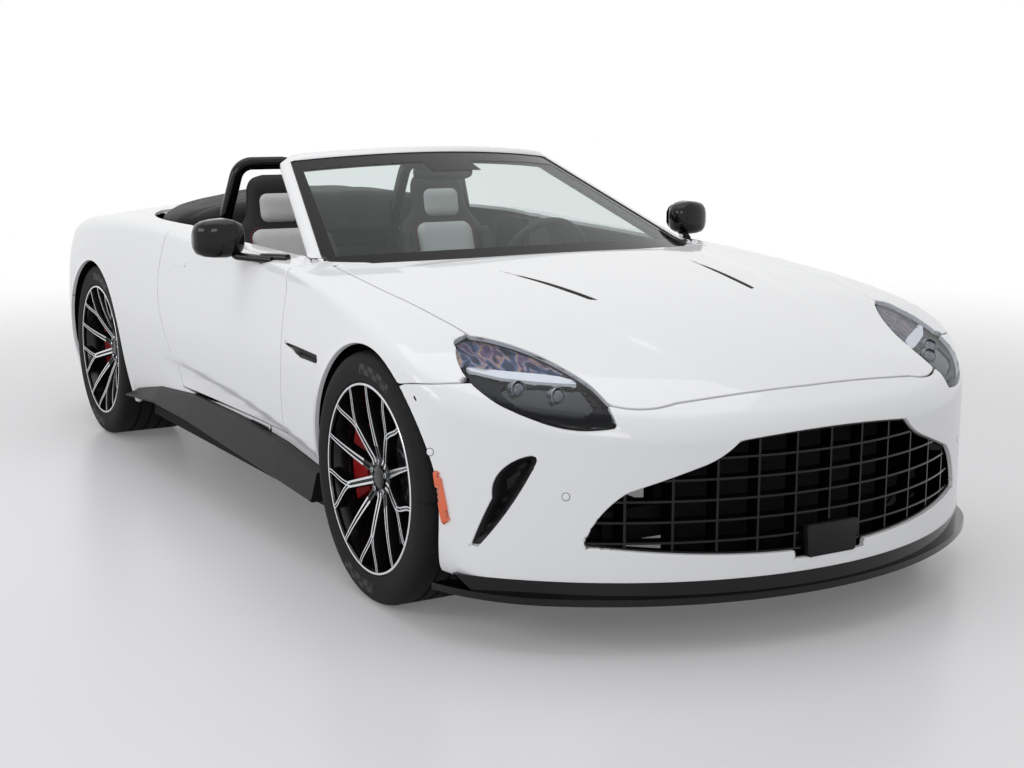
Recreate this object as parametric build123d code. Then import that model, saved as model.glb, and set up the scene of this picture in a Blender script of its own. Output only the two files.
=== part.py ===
"""Two-seat open roadster: a front-engined sports car with its soft top folded.

Frame: +X forward, +Y to the car's left, +Z up. The origin is on the ground, at mid-length, on the
centreline. Everything is in millimetres.
"""
import os
from functools import lru_cache
from math import atan2, cos, radians, sin, sqrt

from build123d import *

os.makedirs("parts", exist_ok=True)

# ---------------------------------------------------------------- driving dimensions
LENGTH = 4495.0            # over the splitter and the rear bumper
WHEELBASE = 2705.0
FRONT_OVERHANG = 875.5
BODY_SETBACK = 10.0        # the bumpers' skin stands this far inside the overall length
SKIN = 14.0                # outer panels, with their inner flange
GAP = 6.6                  # shut lines of what opens
SEAM = 4.0                 # fixed joints between panels
FLOOR_Z = 150.0            # underside of the floor
DOOR_INNER_Y = 822.0       # the doors' inner face
CABIN_FLOOR = 18.0         # thickness of the floor plate

FRONT_TYRE = dict(width=275.0, aspect=0.35, rim=21.0)
REAR_TYRE = dict(width=325.0, aspect=0.30, rim=21.0)
FRONT_TRACK_OUT = 960.0    # outer face of the front wheels, from the centreline
REAR_TRACK_OUT = 955.0
ARCH_GAP = 23.0            # between a tyre's tread and its arch
LOCK_CLEAR = 9.0           # more than that low down, where the steered tyre comes nearest
WELL_RADIUS = 414.0        # the front wheel turns inside this
DISC_RADIUS = 200.0
DISC_THICK = 34.0
KINGPIN_Y = 742.0
BALL_RISE = 150.0          # ball joints above and below the axle
PIVOT_CLEAR = 0.3

DOOR_AXIS = (572.0, 916.0)         # x, y of the vertical hinge line
DOOR_HINGE_Z = (470.0, 650.0)
HINGE_ARM = 118.0                  # from a hinge line inwards to what carries it
HINGE_PIN = 5.0
HINGE_RING = 10.0
HINGE_LEAD = 98.0                  # a lid's leading edge is this far ahead of its hinge line

FA = LENGTH / 2 - FRONT_OVERHANG   # front axle
RA = FA - WHEELBASE                # rear axle
TIP = LENGTH / 2 - BODY_SETBACK    # front and rear ends of the skin


def tyre_radius(tyre):
    return tyre["rim"] * 25.4 / 2 + tyre["width"] * tyre["aspect"]


FRONT_R = tyre_radius(FRONT_TYRE)
REAR_R = tyre_radius(REAR_TYRE)
FRONT_ARCH = FRONT_R + ARCH_GAP
REAR_ARCH = REAR_R + ARCH_GAP - 4

# Body sections, from the front: station, half-width at the sill, widest point (y, z),
# shoulder (y, z), height on the centreline and radius of the shoulder.
SECTIONS = (
    (FA + 960, 850, 930, 215, 850, 225, 520, 40),
    (FA + 843, 855, 960, 260, 880, 340, 613, 60),
    (FA + 668, 865, 985, 360, 930, 505, 706, 80),
    (FA + 448, 875, 990, 450, 955, 635, 778, 100),
    (FA + 228, 885, 990, 560, 960, 745, 832, 110),
    (FA, 890, 990, 620, 945, 802, 868, 110),
    (FA - 322, 885, 958, 600, 912, 848, 900, 90),
    (FA - 672, 880, 935, 570, 882, 882, 922, 80),
    (FA - 1172, 880, 930, 560, 872, 903, 935, 70),
    (FA - 1722, 885, 943, 560, 882, 918, 948, 70),
    (RA + 533, 890, 968, 590, 905, 935, 962, 90),
    (RA, 890, 990, 620, 925, 925, 972, 140),
    (RA - 417, 885, 972, 640, 895, 895, 962, 150),
    (RA - 967, 835, 890, 600, 770, 790, 918, 120),
)
NOSE_RADIUS = 1150.0       # plan view of the front, then of its corners
NOSE_CORNER = 500.0
TAIL_RADIUS = 1400.0
TAIL_CORNER = 520.0
HALF_MAX = 1000.0          # the plan outlines run out into the sides here
TAIL_LIP = (-150, 930)     # ducktail: x back from the rear end, height
DASH_X = FA - 830          # the dashboard's upper edge


# ---------------------------------------------------------------- helpers
def side_prism(outline, reach=1200.0):
    """Solid across the car from an outline in x and z."""
    return extrude(Plane.XZ * outline_face(outline), reach, both=True)


def plan_prism(outline, low=0.0, high=1500.0):
    return Pos(0, 0, low) * extrude(outline_face(outline), high - low)


def front_prism(outline, start, end):
    return Pos(start, 0, 0) * extrude(Plane.YZ * outline_face(outline), end - start)


def outline_face(points):
    """Face from 2-D points; a point given as (x, y, 'arc') lies on an arc between its neighbours."""
    edges, count, i = [], len(points), 0
    while i < count:
        a, b, c = points[i], points[(i + 1) % count], points[(i + 2) % count]
        if len(b) == 3:
            edges.append(ThreePointArc(a[:2], b[:2], c[:2]))
            i += 2
        else:
            edges.append(Line(a[:2], b[:2]))
            i += 1
    return make_face(edges)


def mirrored(points):
    """Closed symmetric outline from its left half, which runs from centre to centre."""
    right = [(x, -y, *rest) for x, y, *rest in points[-2:0:-1]]
    return list(points) + right


def flip(shape):
    return mirror(shape, about=Plane.XZ)


def box(x0, x1, y0, y1, z0, z1):
    return Pos((x0 + x1) / 2, (y0 + y1) / 2, (z0 + z1) / 2) * Box(x1 - x0, y1 - y0, z1 - z0)


def rod(a, b, radius):
    a, b = Vector(*a), Vector(*b)
    ends = (Align.CENTER, Align.CENTER, Align.MIN)
    return Plane(origin=a, z_dir=b - a).location * Cylinder(radius, (b - a).length, align=ends)


def axle_cylinder(x, z, radius, y0, y1):
    return Pos(x, (y0 + y1) / 2, z) * Rot(90, 0, 0) * Cylinder(radius, y1 - y0)


def save(name, *shapes, crumb=500.0):
    """Write one node; slivers under crumb cubic millimetres, left by the cuts, are dropped."""
    solids = [solid for shape in shapes for solid in shape.solids() if solid.volume > crumb]
    export_step(Compound(solids) if len(solids) > 1 else solids[0], f"parts/{name}.step")


# ---------------------------------------------------------------- outer surface
def section(row, inset):
    """One body section across the car, drawn inside the outer surface by inset."""
    x, sill, wide, wide_z, crest, crest_z, top, radius = row
    low = FLOOR_Z + inset
    sill, wide, crest = sill - inset, wide - inset, crest - 0.9 * inset
    crest_z, top = crest_z - 0.9 * inset, top - inset
    edges = [
        Edge.make_line((-sill, low), (sill, low)),
        Edge.make_three_point_arc((sill, low), (wide, wide_z), (crest, crest_z)),
        Edge.make_three_point_arc((crest, crest_z), (0, top), (-crest, crest_z)),
        Edge.make_three_point_arc((-crest, crest_z), (-wide, wide_z), (-sill, low)),
    ]
    wire = Wire(edges)
    corners = [v for v in wire.vertices() if abs(v.Y - crest_z) < 0.01]
    wire = wire.fillet_2d(max(radius - inset / 2, 20), corners)
    return wire.moved(Plane(origin=(x, 0, 0), x_dir=(0, 1, 0), z_dir=(1, 0, 0)).location)


def end_outline(tip, radius, corner, far):
    """Plan outline of one end: a wide arc, a corner arc, then straight sides to x = far."""
    sign = 1 if tip > far else -1
    centre = tip - sign * radius
    turn = (HALF_MAX - corner) / (radius - corner)
    turn = atan2(turn, sqrt(1 - turn * turn))
    corner_x, corner_y = centre + sign * (radius - corner) * cos(turn), (radius - corner) * sin(turn)
    split = (centre + sign * radius * cos(turn), radius * sin(turn))
    half = turn + (radians(90) - turn) / 2
    middle = (corner_x + sign * corner * cos(half), corner_y + corner * sin(half))
    left = [split, (*middle, "arc"), (corner_x, corner_y + corner), (far, corner_y + corner)]
    right = [(x, -y, *rest) for x, y, *rest in left[::-1]]
    return left + right + [(tip, 0, "arc")]


@lru_cache(maxsize=None)
def hull(inset=0.0):
    """The closed outer form, or the same form drawn in by inset."""
    body = Solid.make_loft([section(row, inset) for row in SECTIONS])
    nose = plan_prism(end_outline(TIP - inset, NOSE_RADIUS - inset, NOSE_CORNER - inset, -TIP - 500))
    tail = plan_prism(end_outline(-TIP + inset, TAIL_RADIUS - inset, TAIL_CORNER - inset, TIP + 500))
    lip_x, lip_z = -TIP - TAIL_LIP[0] + inset, TAIL_LIP[1]
    rear = side_prism([
        (TIP + 600, 0), (TIP + 600, 1500), (lip_x, 1500), (lip_x, lip_z + 30), (lip_x - 30, lip_z - 30),
        (-TIP + inset + 22, 700), (-TIP + inset, 560), (-TIP + inset + 14, 400), (-TIP + inset + 90, 200),
        (-TIP + inset + 120, 0)])
    return body & nose & tail & rear


OUTER = hull()
INNER = hull(SKIN)
PANELS = OUTER - INNER - box(-3000, 3000, -1200, 1200, 0, 185)

# ---------------------------------------------------------------- where the panels meet
CROSS = 2600.0
SILL_TOP = 352.0
DOOR_FRONT = [(FA - 700, SILL_TOP + 8), (FA - 700, 600), (FA - 708, 700), (FA - 724, 820), (FA - 832, 990)]
DOOR_REAR = [(RA + 784, 990), (RA + 782, 780), (RA + 815, 650, "arc"), (RA + 905, 520), (RA + 975, 432),
             (RA + 1010, SILL_TOP + 8)]
DOOR_SIDE = DOOR_FRONT + DOOR_REAR

BONNET_TIP = FA + 753
BONNET_PLAN = mirrored([
    (BONNET_TIP, 0), (BONNET_TIP - 18, 240, "arc"), (FA + 706, 410), (FA + 686, 505, "arc"), (FA + 641, 571),
    (FA + 563, 574), (FA + 390, 621, "arc"), (FA + 233, 719), (FA + 212, 742), (FA - 280, 764, "arc"),
    (FA - 700, 742), (FA - 578, 430, "arc"), (FA - 506, 0)])
LAMP_PLAN = [(FA + 252, 806), (FA + 207, 770, "arc"), (FA + 233, 723), (FA + 390, 625, "arc"), (FA + 563, 578),
             (FA + 694, 582), (FA + 617, 706, "arc"), (FA + 497, 812), (FA + 381, 843, "arc")]
BUMPER_SIDE = [(FA + 200, 0), (FA + 200, 668), (FA + 300, 683), (FA + 400, 692), (FA + 400, 900), (CROSS, 900),
               (CROSS, 0)]
BOOT_PLAN = mirrored([
    (RA - 330, 0), (RA - 350, 380, "arc"), (RA - 405, 560), (RA - 560, 640, "arc"), (RA - 720, 600),
    (RA - 800, 330, "arc"), (RA - 812, 0)])
REAR_BUMPER_SIDE = [(RA - 300, 0), (RA - 300, 560), (RA - 560, 600), (RA - 800, 655), (-CROSS, 655), (-CROSS, 0)]
CABIN_PLAN = mirrored([
    (DASH_X + 330, 0), (DASH_X + 290, 420, "arc"), (DASH_X + 70, 722), (DASH_X - 400, 762, "arc"), (RA + 700, 764),
    (RA + 200, 752, "arc"), (RA - 60, 640), (RA - 138, 330, "arc"), (RA - 150, 0)])
GRILLE_FRONT = [
    (-288, 556), (0, 573, "arc"), (288, 556), (330, 521, "arc"), (390, 492), (560, 430), (620, 370, "arc"), (652, 305),
    (656, 290, "arc"), (640, 283), (0, 246, "arc"), (-640, 283), (-656, 290, "arc"), (-652, 305), (-620, 370, "arc"),
    (-560, 430), (-390, 492), (-330, 521, "arc")]
CURTAIN_FRONT = [(754, 505), (758, 518, "arc"), (772, 519), (818, 484, "arc"), (838, 405), (860, 337, "arc"),
                 (877, 274), (867, 268), (801, 392, "arc")]
STRAKE_SIDE = [(FA - 694, 664), (FA - 370, 664), (FA - 358, 640), (FA - 520, 636)]


def widen(outline, step):
    """The outline moved outwards all round by step, for a shut line."""
    face = outline_face(outline)
    return offset(face, amount=step, kind=Kind.ARC)


def plan_cut(outline, step, low=480.0):
    return Pos(0, 0, low) * extrude(widen(outline, step), 1000)


def side_cut(outline, step):
    return extrude(Plane.XZ * widen(outline, step), 1200, both=True)


bonnet_cut, boot_cut = plan_cut(BONNET_PLAN, GAP), plan_cut(BOOT_PLAN, GAP, 600)
lamp_cut = plan_cut(LAMP_PLAN, 0)
lamp_cut = lamp_cut + flip(lamp_cut)
door_cut = side_cut(DOOR_SIDE, GAP)
cabin_cut = plan_prism(CABIN_PLAN, 500)
arches = axle_cylinder(FA, FRONT_R, FRONT_ARCH, -1200, 1200) + axle_cylinder(RA, REAR_R, REAR_ARCH, -1200, 1200)
arches = arches + axle_cylinder(FA, FRONT_R, FRONT_ARCH + LOCK_CLEAR, -930, 930)
front_zone = side_prism(BUMPER_SIDE)
rear_zone = side_prism(REAR_BUMPER_SIDE)
grille_cut = front_prism(GRILLE_FRONT, FA + 400, CROSS)
curtain_cut = front_prism(CURTAIN_FRONT, FA + 300, CROSS)
curtain_cut = curtain_cut + flip(curtain_cut)

skins = PANELS - arches - box(-3000, 3000, -1200, 1200, 0, 190)

# ---------------------------------------------------------------- windscreen and its frame
SCREEN_LOW = dict(corner=(585, 740, 884), middle=(852, 914))       # x, y, z; x, z at the centre
SCREEN_TOP = dict(corner=(-150, 548, 1196), middle=(-32, 1226))


def screen_point(t):
    """Corner and middle of the glass edge, from 0 at the cowl to 1 at the header."""
    low, top = SCREEN_LOW, SCREEN_TOP
    corner = [a + t * (b - a) for a, b in zip(low["corner"], top["corner"])]
    middle = [a + t * (b - a) for a, b in zip(low["middle"], top["middle"])]
    return corner, middle


def screen_section(t, wider=0.0, out=0.0, thick=6.0):
    """Curved strip across the car at one height of the glass."""
    (cx, cy, cz), (mx, mz) = screen_point(t)
    rise = Vector(mx - cx, 0, mz - cz)
    sag, half = rise.length, cy
    radius = (half * half + sag * sag) / (2 * sag)
    plane = Plane(origin=(cx, 0, cz), x_dir=(0, 1, 0), z_dir=Vector(0, 1, 0).cross(rise.normalized()))
    centre = sag - radius
    outer, inner, end = radius + out, radius + out - thick, half + wider
    oh, ih = centre + sqrt(outer**2 - end**2), centre + sqrt(inner**2 - end**2)
    outline = [(-end, oh), (0, centre + outer, "arc"), (end, oh), (end, ih), (0, centre + inner, "arc"), (-end, ih)]
    return (plane * outline_face(outline)).face()


def screen_solid(t0, t1, wider0, wider1, out, thick):
    sections = [screen_section(t0, wider0, out, thick), screen_section(t1, wider1, out, thick)]
    return Solid.make_loft([face.outer_wire() for face in sections], ruled=True)


glass = screen_solid(0.0, 1.0, 0, 0, 0, 6)
frame_out = screen_solid(-0.08, 1.09, 44, 40, 5, 44)
frame_hole = screen_solid(0.055, 0.962, -26, -22, 60, 200)
rebate = screen_solid(0.0, 1.0, 0, 0, 60, 66)
windscreen_frame = frame_out - rebate - frame_hole - bonnet_cut
door_swing = box(430, DOOR_AXIS[0] + 22, 718, 796, 850, 907)     # room for the opening door's upper corner
windscreen_frame = windscreen_frame - door_swing - flip(door_swing)
pillar_foot = screen_solid(-0.12, 0.4, 56, 56, 24, 110)
save("windscreen", glass)
save("windscreen_frame", windscreen_frame)


# ---------------------------------------------------------------- hinges
def hinge_arm(width=10.0):
    """Fixed half of a hinge at the local origin: the pin on Z and its arm towards -Y."""
    arm = box(-width / 2, width / 2, -HINGE_ARM, 0, -8, 8)
    return arm + Pos(0, 0, -26) * Cylinder(HINGE_PIN, 52, align=(Align.CENTER, Align.CENTER, Align.MIN))


def hinge_rings(lug=22.0):
    """Moving half: two rings, each with a lug towards +Y that runs into the lid's skin."""
    rings = Pos(0, 0, 17.3) * Cylinder(HINGE_RING, 17.4) + Pos(0, 0, -17.3) * Cylinder(HINGE_RING, 17.4)
    for z in (8.6, -26.0):
        rings += box(-HINGE_RING, HINGE_RING, 0, lug, z, z + 17.4)
    return rings


# ---------------------------------------------------------------- bonnet, boot lid, doors
def under_skin(x, y, depth):
    """Point (x, z) this far under the outer surface."""
    probe = OUTER & Edge.make_line((x, y, 500), (x, y, 1400))
    return x, probe.bounding_box().max.Z - depth


BONNET_HINGE_Y, BOOT_HINGE_Y, HINGE_DEPTH = 170.0, 230.0, 21.0
BONNET_TILT, BOOT_TILT = -0.45, -0.02     # slope of the skin at the hinges, in radians
BONNET_AXIS = under_skin(BONNET_TIP - HINGE_LEAD, BONNET_HINGE_Y, HINGE_DEPTH)      # x, z
BOOT_AXIS = under_skin(RA - 332 - HINGE_LEAD, BOOT_HINGE_Y, HINGE_DEPTH)


def cross_hinge(axis, y, tilt):
    """Local frame of a hinge whose line runs across the car at (x, z), leading edge forward."""
    return Plane(origin=(axis[0], y, axis[1]), x_dir=(cos(tilt), 0, sin(tilt)), z_dir=(0, -1, 0))


bonnet = skins & plan_cut(BONNET_PLAN, 0)
vents = [(FA + 142, 276), (FA - 80, 296, "arc"), (FA - 297, 362), (FA - 100, 340, "arc")]
vent_cut = plan_prism(vents, 700)
bonnet = bonnet - vent_cut - flip(vent_cut)


def hang(lid, axis, y0, tilt):
    """Adds the moving halves of a pair of hinges to a lid."""
    for y in (y0, -y0):
        place = cross_hinge(axis, y, tilt).location
        lid = lid + (place * hinge_rings() & hull(5)) - place * Cylinder(HINGE_PIN + PIVOT_CLEAR, 60)
    return lid


bonnet = hang(bonnet, BONNET_AXIS, BONNET_HINGE_Y, BONNET_TILT)

boot_lid = skins & plan_cut(BOOT_PLAN, 0, 600)
boot_lid = hang(boot_lid, BOOT_AXIS, BOOT_HINGE_Y, BOOT_TILT)


def make_door():
    """Left door: skin, and behind the hinge line a hollow box, open at the top for its window."""
    skin = skins & side_prism(DOOR_SIDE) & box(-3000, 3000, 700, 1200, 0, 1400)
    ax, ay = DOOR_AXIS
    low = SILL_TOP + 22
    shape = [(ax - 3, low), (ax - 3, 1000), *[(x + 14, z, *arc) for x, z, *arc in DOOR_REAR[:-1]], (RA + 1019, low)]
    inner = [(ax - 18, low + 15), (ax - 18, 1050), *[(x + 30, z + 15, *arc) for x, z, *arc in DOOR_REAR[:-1]],
             (RA + 1035, low + 15)]
    trim = hull(5) & side_prism(shape) & box(-3000, 3000, DOOR_INNER_Y, 1200, 0, 1400)
    top_cap = hull(18) & side_prism(inner) & box(-3000, 3000, DOOR_INNER_Y + 14, 1200, 0, 1400)
    slot = box(RA + 815, ax - 60, DOOR_INNER_Y + 20, DOOR_INNER_Y + 34, 700, 1400)
    door = skin + trim - top_cap - slot
    for z in DOOR_HINGE_Z:
        door = door - box(ax - 16, ax + 45, DOOR_INNER_Y - 10, ay + 4, z - 14, z + 14)
        door = door + Pos(ax, ay, z) * hinge_rings(12) - Pos(ax, ay, z) * Cylinder(HINGE_PIN + PIVOT_CLEAR, 60)
    return door - cabin_cut - pillar_foot


door_left = make_door()
save("bonnet", bonnet)
save("boot_lid", boot_lid)
save("door_left", door_left)
save("door_right", flip(door_left))

# ---------------------------------------------------------------- sills
SILL_STATIONS = (   # station, lower edge, top edge, lip out, lip thickness
    (FA - 398, 205, 300, 968, 12), (FA - 700, 222, 330, 972, 14), (FA - 1130, 240, 346, 974, 16),
    (FA - 1545, 258, 350, 975, 16), (FA - 1930, 262, 322, 978, 14), (RA + 446, 236, 262, 982, 10))
SILL_IN, SILL_FACE = 862.0, 932.0


def sill_section(x, low, top, lip, thick):
    points = [(SILL_IN, low), (lip - 6, low), (lip, low + thick * 0.6), (lip - 5, low + thick),
              (SILL_FACE + 12, top - 6), (SILL_FACE, top), (SILL_IN, top)]
    return Plane(origin=(x, 0, 0), x_dir=(0, 1, 0), z_dir=(1, 0, 0)) * Polyline(*points, close=True)


sill_left = Solid.make_loft([sill_section(*row).wire() for row in SILL_STATIONS], ruled=True)
sill_line = [(x, top) for x, low, top, lip, thick in SILL_STATIONS]
sill_zone = side_prism([(FA - 380, 290), *sill_line, (RA + 380, 240), (RA + 380, 0), (FA - 380, 0)])
sill_left = sill_left - arches
save("side_sills", sill_left, flip(sill_left))

# ---------------------------------------------------------------- fixed panels
DIFFUSER_HALF, DIFFUSER_TOP = 520.0, 330.0    # the rear bumper's cut-out, which the diffuser fills
fixed = skins - bonnet_cut - boot_cut - door_cut - cabin_cut - lamp_cut
PLATE_FRONT = [(-122, 226), (-100, 312), (100, 312), (122, 226)]
PANEL_SEAT = 16.0          # the plain number-plate panel lies this deep in the grille
plate_cut = front_prism(PLATE_FRONT, TIP - PANEL_SEAT, CROSS)
front_bumper = (fixed & front_zone) - grille_cut - curtain_cut - plate_cut
body_side = fixed - side_cut(BUMPER_SIDE, SEAM) - side_cut(REAR_BUMPER_SIDE, SEAM) - sill_zone - windscreen_frame
wings = body_side & box(DOOR_AXIS[0] - 60, 3000, -1200, 1200, 0, 1500)
strake_cut = side_prism(STRAKE_SIDE)
wing_left = (wings & box(-3000, 3000, 5, 1200, 0, 1500)) - strake_cut
rear_body = body_side & box(-3000, DOOR_AXIS[0] - 65, -1200, 1200, 0, 1500)
lamp_band = box(-3000, RA - 780, -760, 760, 742, 800)
rear_body = rear_body - lamp_band
rear_bumper = (fixed & rear_zone) - box(-3000, 0, -DIFFUSER_HALF, DIFFUSER_HALF, 0, DIFFUSER_TOP)
save("front_bumper", front_bumper)
save("wing_left", wing_left, crumb=20000)
save("wing_right", flip(wing_left), crumb=20000)
save("rear_body", rear_body)

headlamps = (OUTER - hull(45)) & lamp_cut & box(0, 3000, -1200, 1200, 480, 1000)
save("headlamps", headlamps - bonnet_cut)
save("tail_lamps", (OUTER - hull(45)) & lamp_band)

# ---------------------------------------------------------------- grille and what stands behind it
VANE = 6.0
vanes = []
for z in (290, 345, 400, 455, 510):
    vanes.append(box(FA, 3000, -700, 700, z - VANE / 2, z + VANE / 2))
for i in range(-5, 6):
    y = 112.0 * i
    vanes.append(box(FA, 3000, y - VANE / 2, y + VANE / 2, 180, 620))
crate = vanes[0].fuse(*vanes[1:])
grille = crate & (hull(16) - hull(58)) & grille_cut
rim_band = (hull(12) - hull(40)) & (grille_cut - front_prism([(0.985 * y, 396 + 0.965 * (z - 396), *r)
                                                             for y, z, *r in GRILLE_FRONT], FA + 400, CROSS))
plate_room = front_prism([(-130, 200), (-110, 318), (110, 318), (130, 200)], TIP - PANEL_SEAT, CROSS)
save("grille", grille + rim_band - plate_room)
plate = front_prism(PLATE_FRONT, TIP - PANEL_SEAT, TIP + 2)
save("sensor_panel", plate - front_bumper)

save("radiator", box(FA + 598, FA + 645, -370, 370, 190, 560))

# ---------------------------------------------------------------- splitter, sills, diffuser
BLADE_Z = (131.0, 150.0)
SPLITTER = [
    (FA + 340, 880), (FA + 344, 935), (FA + 523, 845, "arc"), (FA + 644, 719), (LENGTH / 2, 0, "arc"), (FA + 644, -719),
    (FA + 523, -845, "arc"), (FA + 344, -935), (FA + 340, -880), (FA + 480, -800), (FA + 480, 800)]
splitter = plan_prism(SPLITTER, BLADE_Z[0], BLADE_Z[1])
upstand = (hull(-1) - hull(30)) & plan_prism(SPLITTER, BLADE_Z[1] - 2, 190)
save("front_splitter", splitter + (upstand & box(FA + 410, 3000, -1200, 1200, 100, 190)))

DIFFUSER = [(RA - 300, 186), (RA - 420, 186), (RA - 840, 300), (-LENGTH / 2, 312), (-LENGTH / 2, DIFFUSER_TOP),
            (RA - 830, DIFFUSER_TOP), (RA - 500, 260), (RA - 300, 204)]
tail_zone = plan_prism(end_outline(-LENGTH / 2, TAIL_RADIUS, TAIL_CORNER, TIP))
diffuser = side_prism(DIFFUSER, DIFFUSER_HALF)
fins = [box(-3000, RA - 330, y - 5, y + 5, 172, 330) for y in (-390, -130, 130, 390)]
fin_side = side_prism([(RA - 330, 176), (RA - 640, 168), (-LENGTH / 2 + 40, 214), (-LENGTH / 2 + 6, 318), (RA - 340, 200)])
for fin in fins:
    diffuser = diffuser + (fin & fin_side)
save("rear_diffuser", diffuser & tail_zone)

# ---------------------------------------------------------------- exhausts
PIPE_Z, PIPE_R = 386.0, 46.0
BOOT_FLOOR_Z = 452.0
exhausts = box(RA - 560, RA - 430, -412, 412, PIPE_Z - 52, BOOT_FLOOR_Z)
bumper_holes = None
for y in (-372, -262, 262, 372):
    exhausts = exhausts + rod((RA - 500, y, PIPE_Z), (-TIP - 6, y, PIPE_Z), PIPE_R)
    exhausts = exhausts - rod((RA - 556, y, PIPE_Z), (-TIP - 9, y, PIPE_Z), PIPE_R - 4)
    hole = rod((RA - 600, y, PIPE_Z), (-TIP - 60, y, PIPE_Z), PIPE_R + 7)
    bumper_holes = hole if bumper_holes is None else bumper_holes + hole
save("exhausts", exhausts)

PLATE_HOLES = (178.0, 121.0, 3.5)      # rear registration plate: across, up, hole radius
PLATE_Z = 560.0
for y in (-PLATE_HOLES[0] / 2, PLATE_HOLES[0] / 2):
    for z in (PLATE_Z - PLATE_HOLES[1] / 2, PLATE_Z + PLATE_HOLES[1] / 2):
        bumper_holes = bumper_holes + rod((-TIP + 60, y, z), (-TIP - 60, y, z), PLATE_HOLES[2])
rear_bumper = rear_bumper + box(-TIP - 1, -TIP + 30, -150, 150, PLATE_Z - 75, PLATE_Z + 75)
save("rear_bumper", rear_bumper - bumper_holes)

# ---------------------------------------------------------------- body structure
RAIL_Y, RAIL_Z = (395.0, 460.0), (262.0, 350.0)
FRONT_WELL_Y, REAR_WELL_Y = 498.0, 600.0
SHELF_Z = 800.0


def both(shape):
    return shape + flip(shape)


BULKHEAD_X = (FA - 582, FA - 570)
REAR_WALL_X = (RA + 455, RA + 467)
DECK_Z = FLOOR_Z + CABIN_FLOOR
floor_structure = [
    box(RA + 430, BULKHEAD_X[0], -858, 858, FLOOR_Z, DECK_Z),
    both(box(RA + 440, FA - 415, 800, 860, FLOOR_Z, SILL_TOP - 14)),
]
tunnel_structure = [
    both(box(REAR_WALL_X[1], BULKHEAD_X[0], 118, 130, DECK_Z, 400)),
    box(REAR_WALL_X[1], BULKHEAD_X[0], -130, 130, 388, 400),
]
bulkhead_structure = [
    box(*BULKHEAD_X, -785, 785, FLOOR_Z, 800),
    both(box(DOOR_AXIS[0] - 52, BULKHEAD_X[1], 744, DOOR_AXIS[1] - HINGE_ARM, DECK_Z, 872)),
    box(FA - 740, FA - 640, -760, 760, 740, 856),
]
rear_structure = [
    box(*REAR_WALL_X, -800, 800, DECK_Z, SHELF_Z),
    both(box(RA + 430, RA + 660, 765, 800, DECK_Z, 900)),
    box(RA - 165, RA + 467, -770, 770, SHELF_Z - 10, SHELF_Z),
    box(RA - 177, RA - 165, -560, 560, BOOT_FLOOR_Z, 940),
    box(RA - 790, RA + 467, -560, 560, BOOT_FLOOR_Z, BOOT_FLOOR_Z + 10),
    both(box(RA - 740, RA + 467, 560, 572, BOOT_FLOOR_Z, 800)),
    box(RA - 460, RA - 405, -566, 566, 786, 822),
    both(box(RA - 790, RA + 467, 420, 480, BOOT_FLOOR_Z - 20, BOOT_FLOOR_Z)),
    box(RA - 800, RA - 760, -760, 760, BOOT_FLOOR_Z, 560),
    both(box(RA - 75, RA + 75, 420, REAR_WELL_Y - 5, 250, 640)),
]
front_structure = [
    both(box(FA - 570, FA + 550, *RAIL_Y, *RAIL_Z)),
    box(FA + 550, FA + 580, -760, 760, *RAIL_Z),
    box(FA + 550, FA + 598, -560, 560, *RAIL_Z),
    both(box(FA + 550, FA + 598, 330, 395, 262, 602)),
    box(FA + 550, FA + 630, -395, 395, 574, 602),
    both(box(FA - 75, FA + 75, 395, FRONT_WELL_Y - 10, RAIL_Z[0], 660)),
    both(box(FA - 215, FA - 175, -460, 460, 236, 262)),
    both(box(FA - 470, FA - 430, -460, 460, 236, 262)),
]


def lid_arms(axis, y0, tilt):
    """The fixed halves of a lid's two hinges."""
    arms = [cross_hinge(axis, y, tilt).location * hinge_arm() for y in (y0, -y0)]
    return arms[0] + arms[1]


inside = hull(SKIN)
well_cuts = both(axle_cylinder(FA, FRONT_R, WELL_RADIUS + 4, FRONT_WELL_Y - 10, 1200))
well_cuts = well_cuts + both(axle_cylinder(RA, REAR_R, REAR_ARCH + 16, REAR_WELL_Y - 5, 1200))
floor_pan = floor_structure[0] + floor_structure[1] - well_cuts
centre_tunnel = tunnel_structure[0] + tunnel_structure[1]
bulkhead = bulkhead_structure[0].fuse(*bulkhead_structure[1:]) & (inside - box(FA - 900, FA - 500, -700, 700, 862, 990))
for z in DOOR_HINGE_Z:
    bulkhead = bulkhead + both(Pos(*DOOR_AXIS, z) * hinge_arm())
bulkhead = bulkhead - well_cuts - windscreen_frame - glass
front_frame = (front_structure[0].fuse(*front_structure[1:]) & inside) + lid_arms(
    BONNET_AXIS, BONNET_HINGE_Y, BONNET_TILT) - well_cuts
rear_frame = (rear_structure[0].fuse(*rear_structure[1:]) & inside) + lid_arms(
    BOOT_AXIS, BOOT_HINGE_Y, BOOT_TILT) - well_cuts
cabin_shell = bulkhead + centre_tunnel + floor_pan
save("centre_tunnel", centre_tunnel)
save("bulkhead", bulkhead)
save("floor_pan", floor_pan)
save("front_frame", front_frame)
save("rear_frame", rear_frame)

# ---------------------------------------------------------------- wheel arch liners
def arch_liner(x, z, radius, wall_y, window):
    """Inner wheel arch: a half drum whose rim meets the skin, with a wall towards the car's middle."""
    drum = axle_cylinder(x, z, radius + 4, wall_y, 1200) - axle_cylinder(x, z, radius, wall_y + 5, 1200)
    drum = drum & box(-3000, 3000, 0, 1200, 205, 1000)
    drum = drum - box(x - window, x + window, wall_y - 10, wall_y + 10, 100, z + 260)
    return drum & INNER


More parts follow.
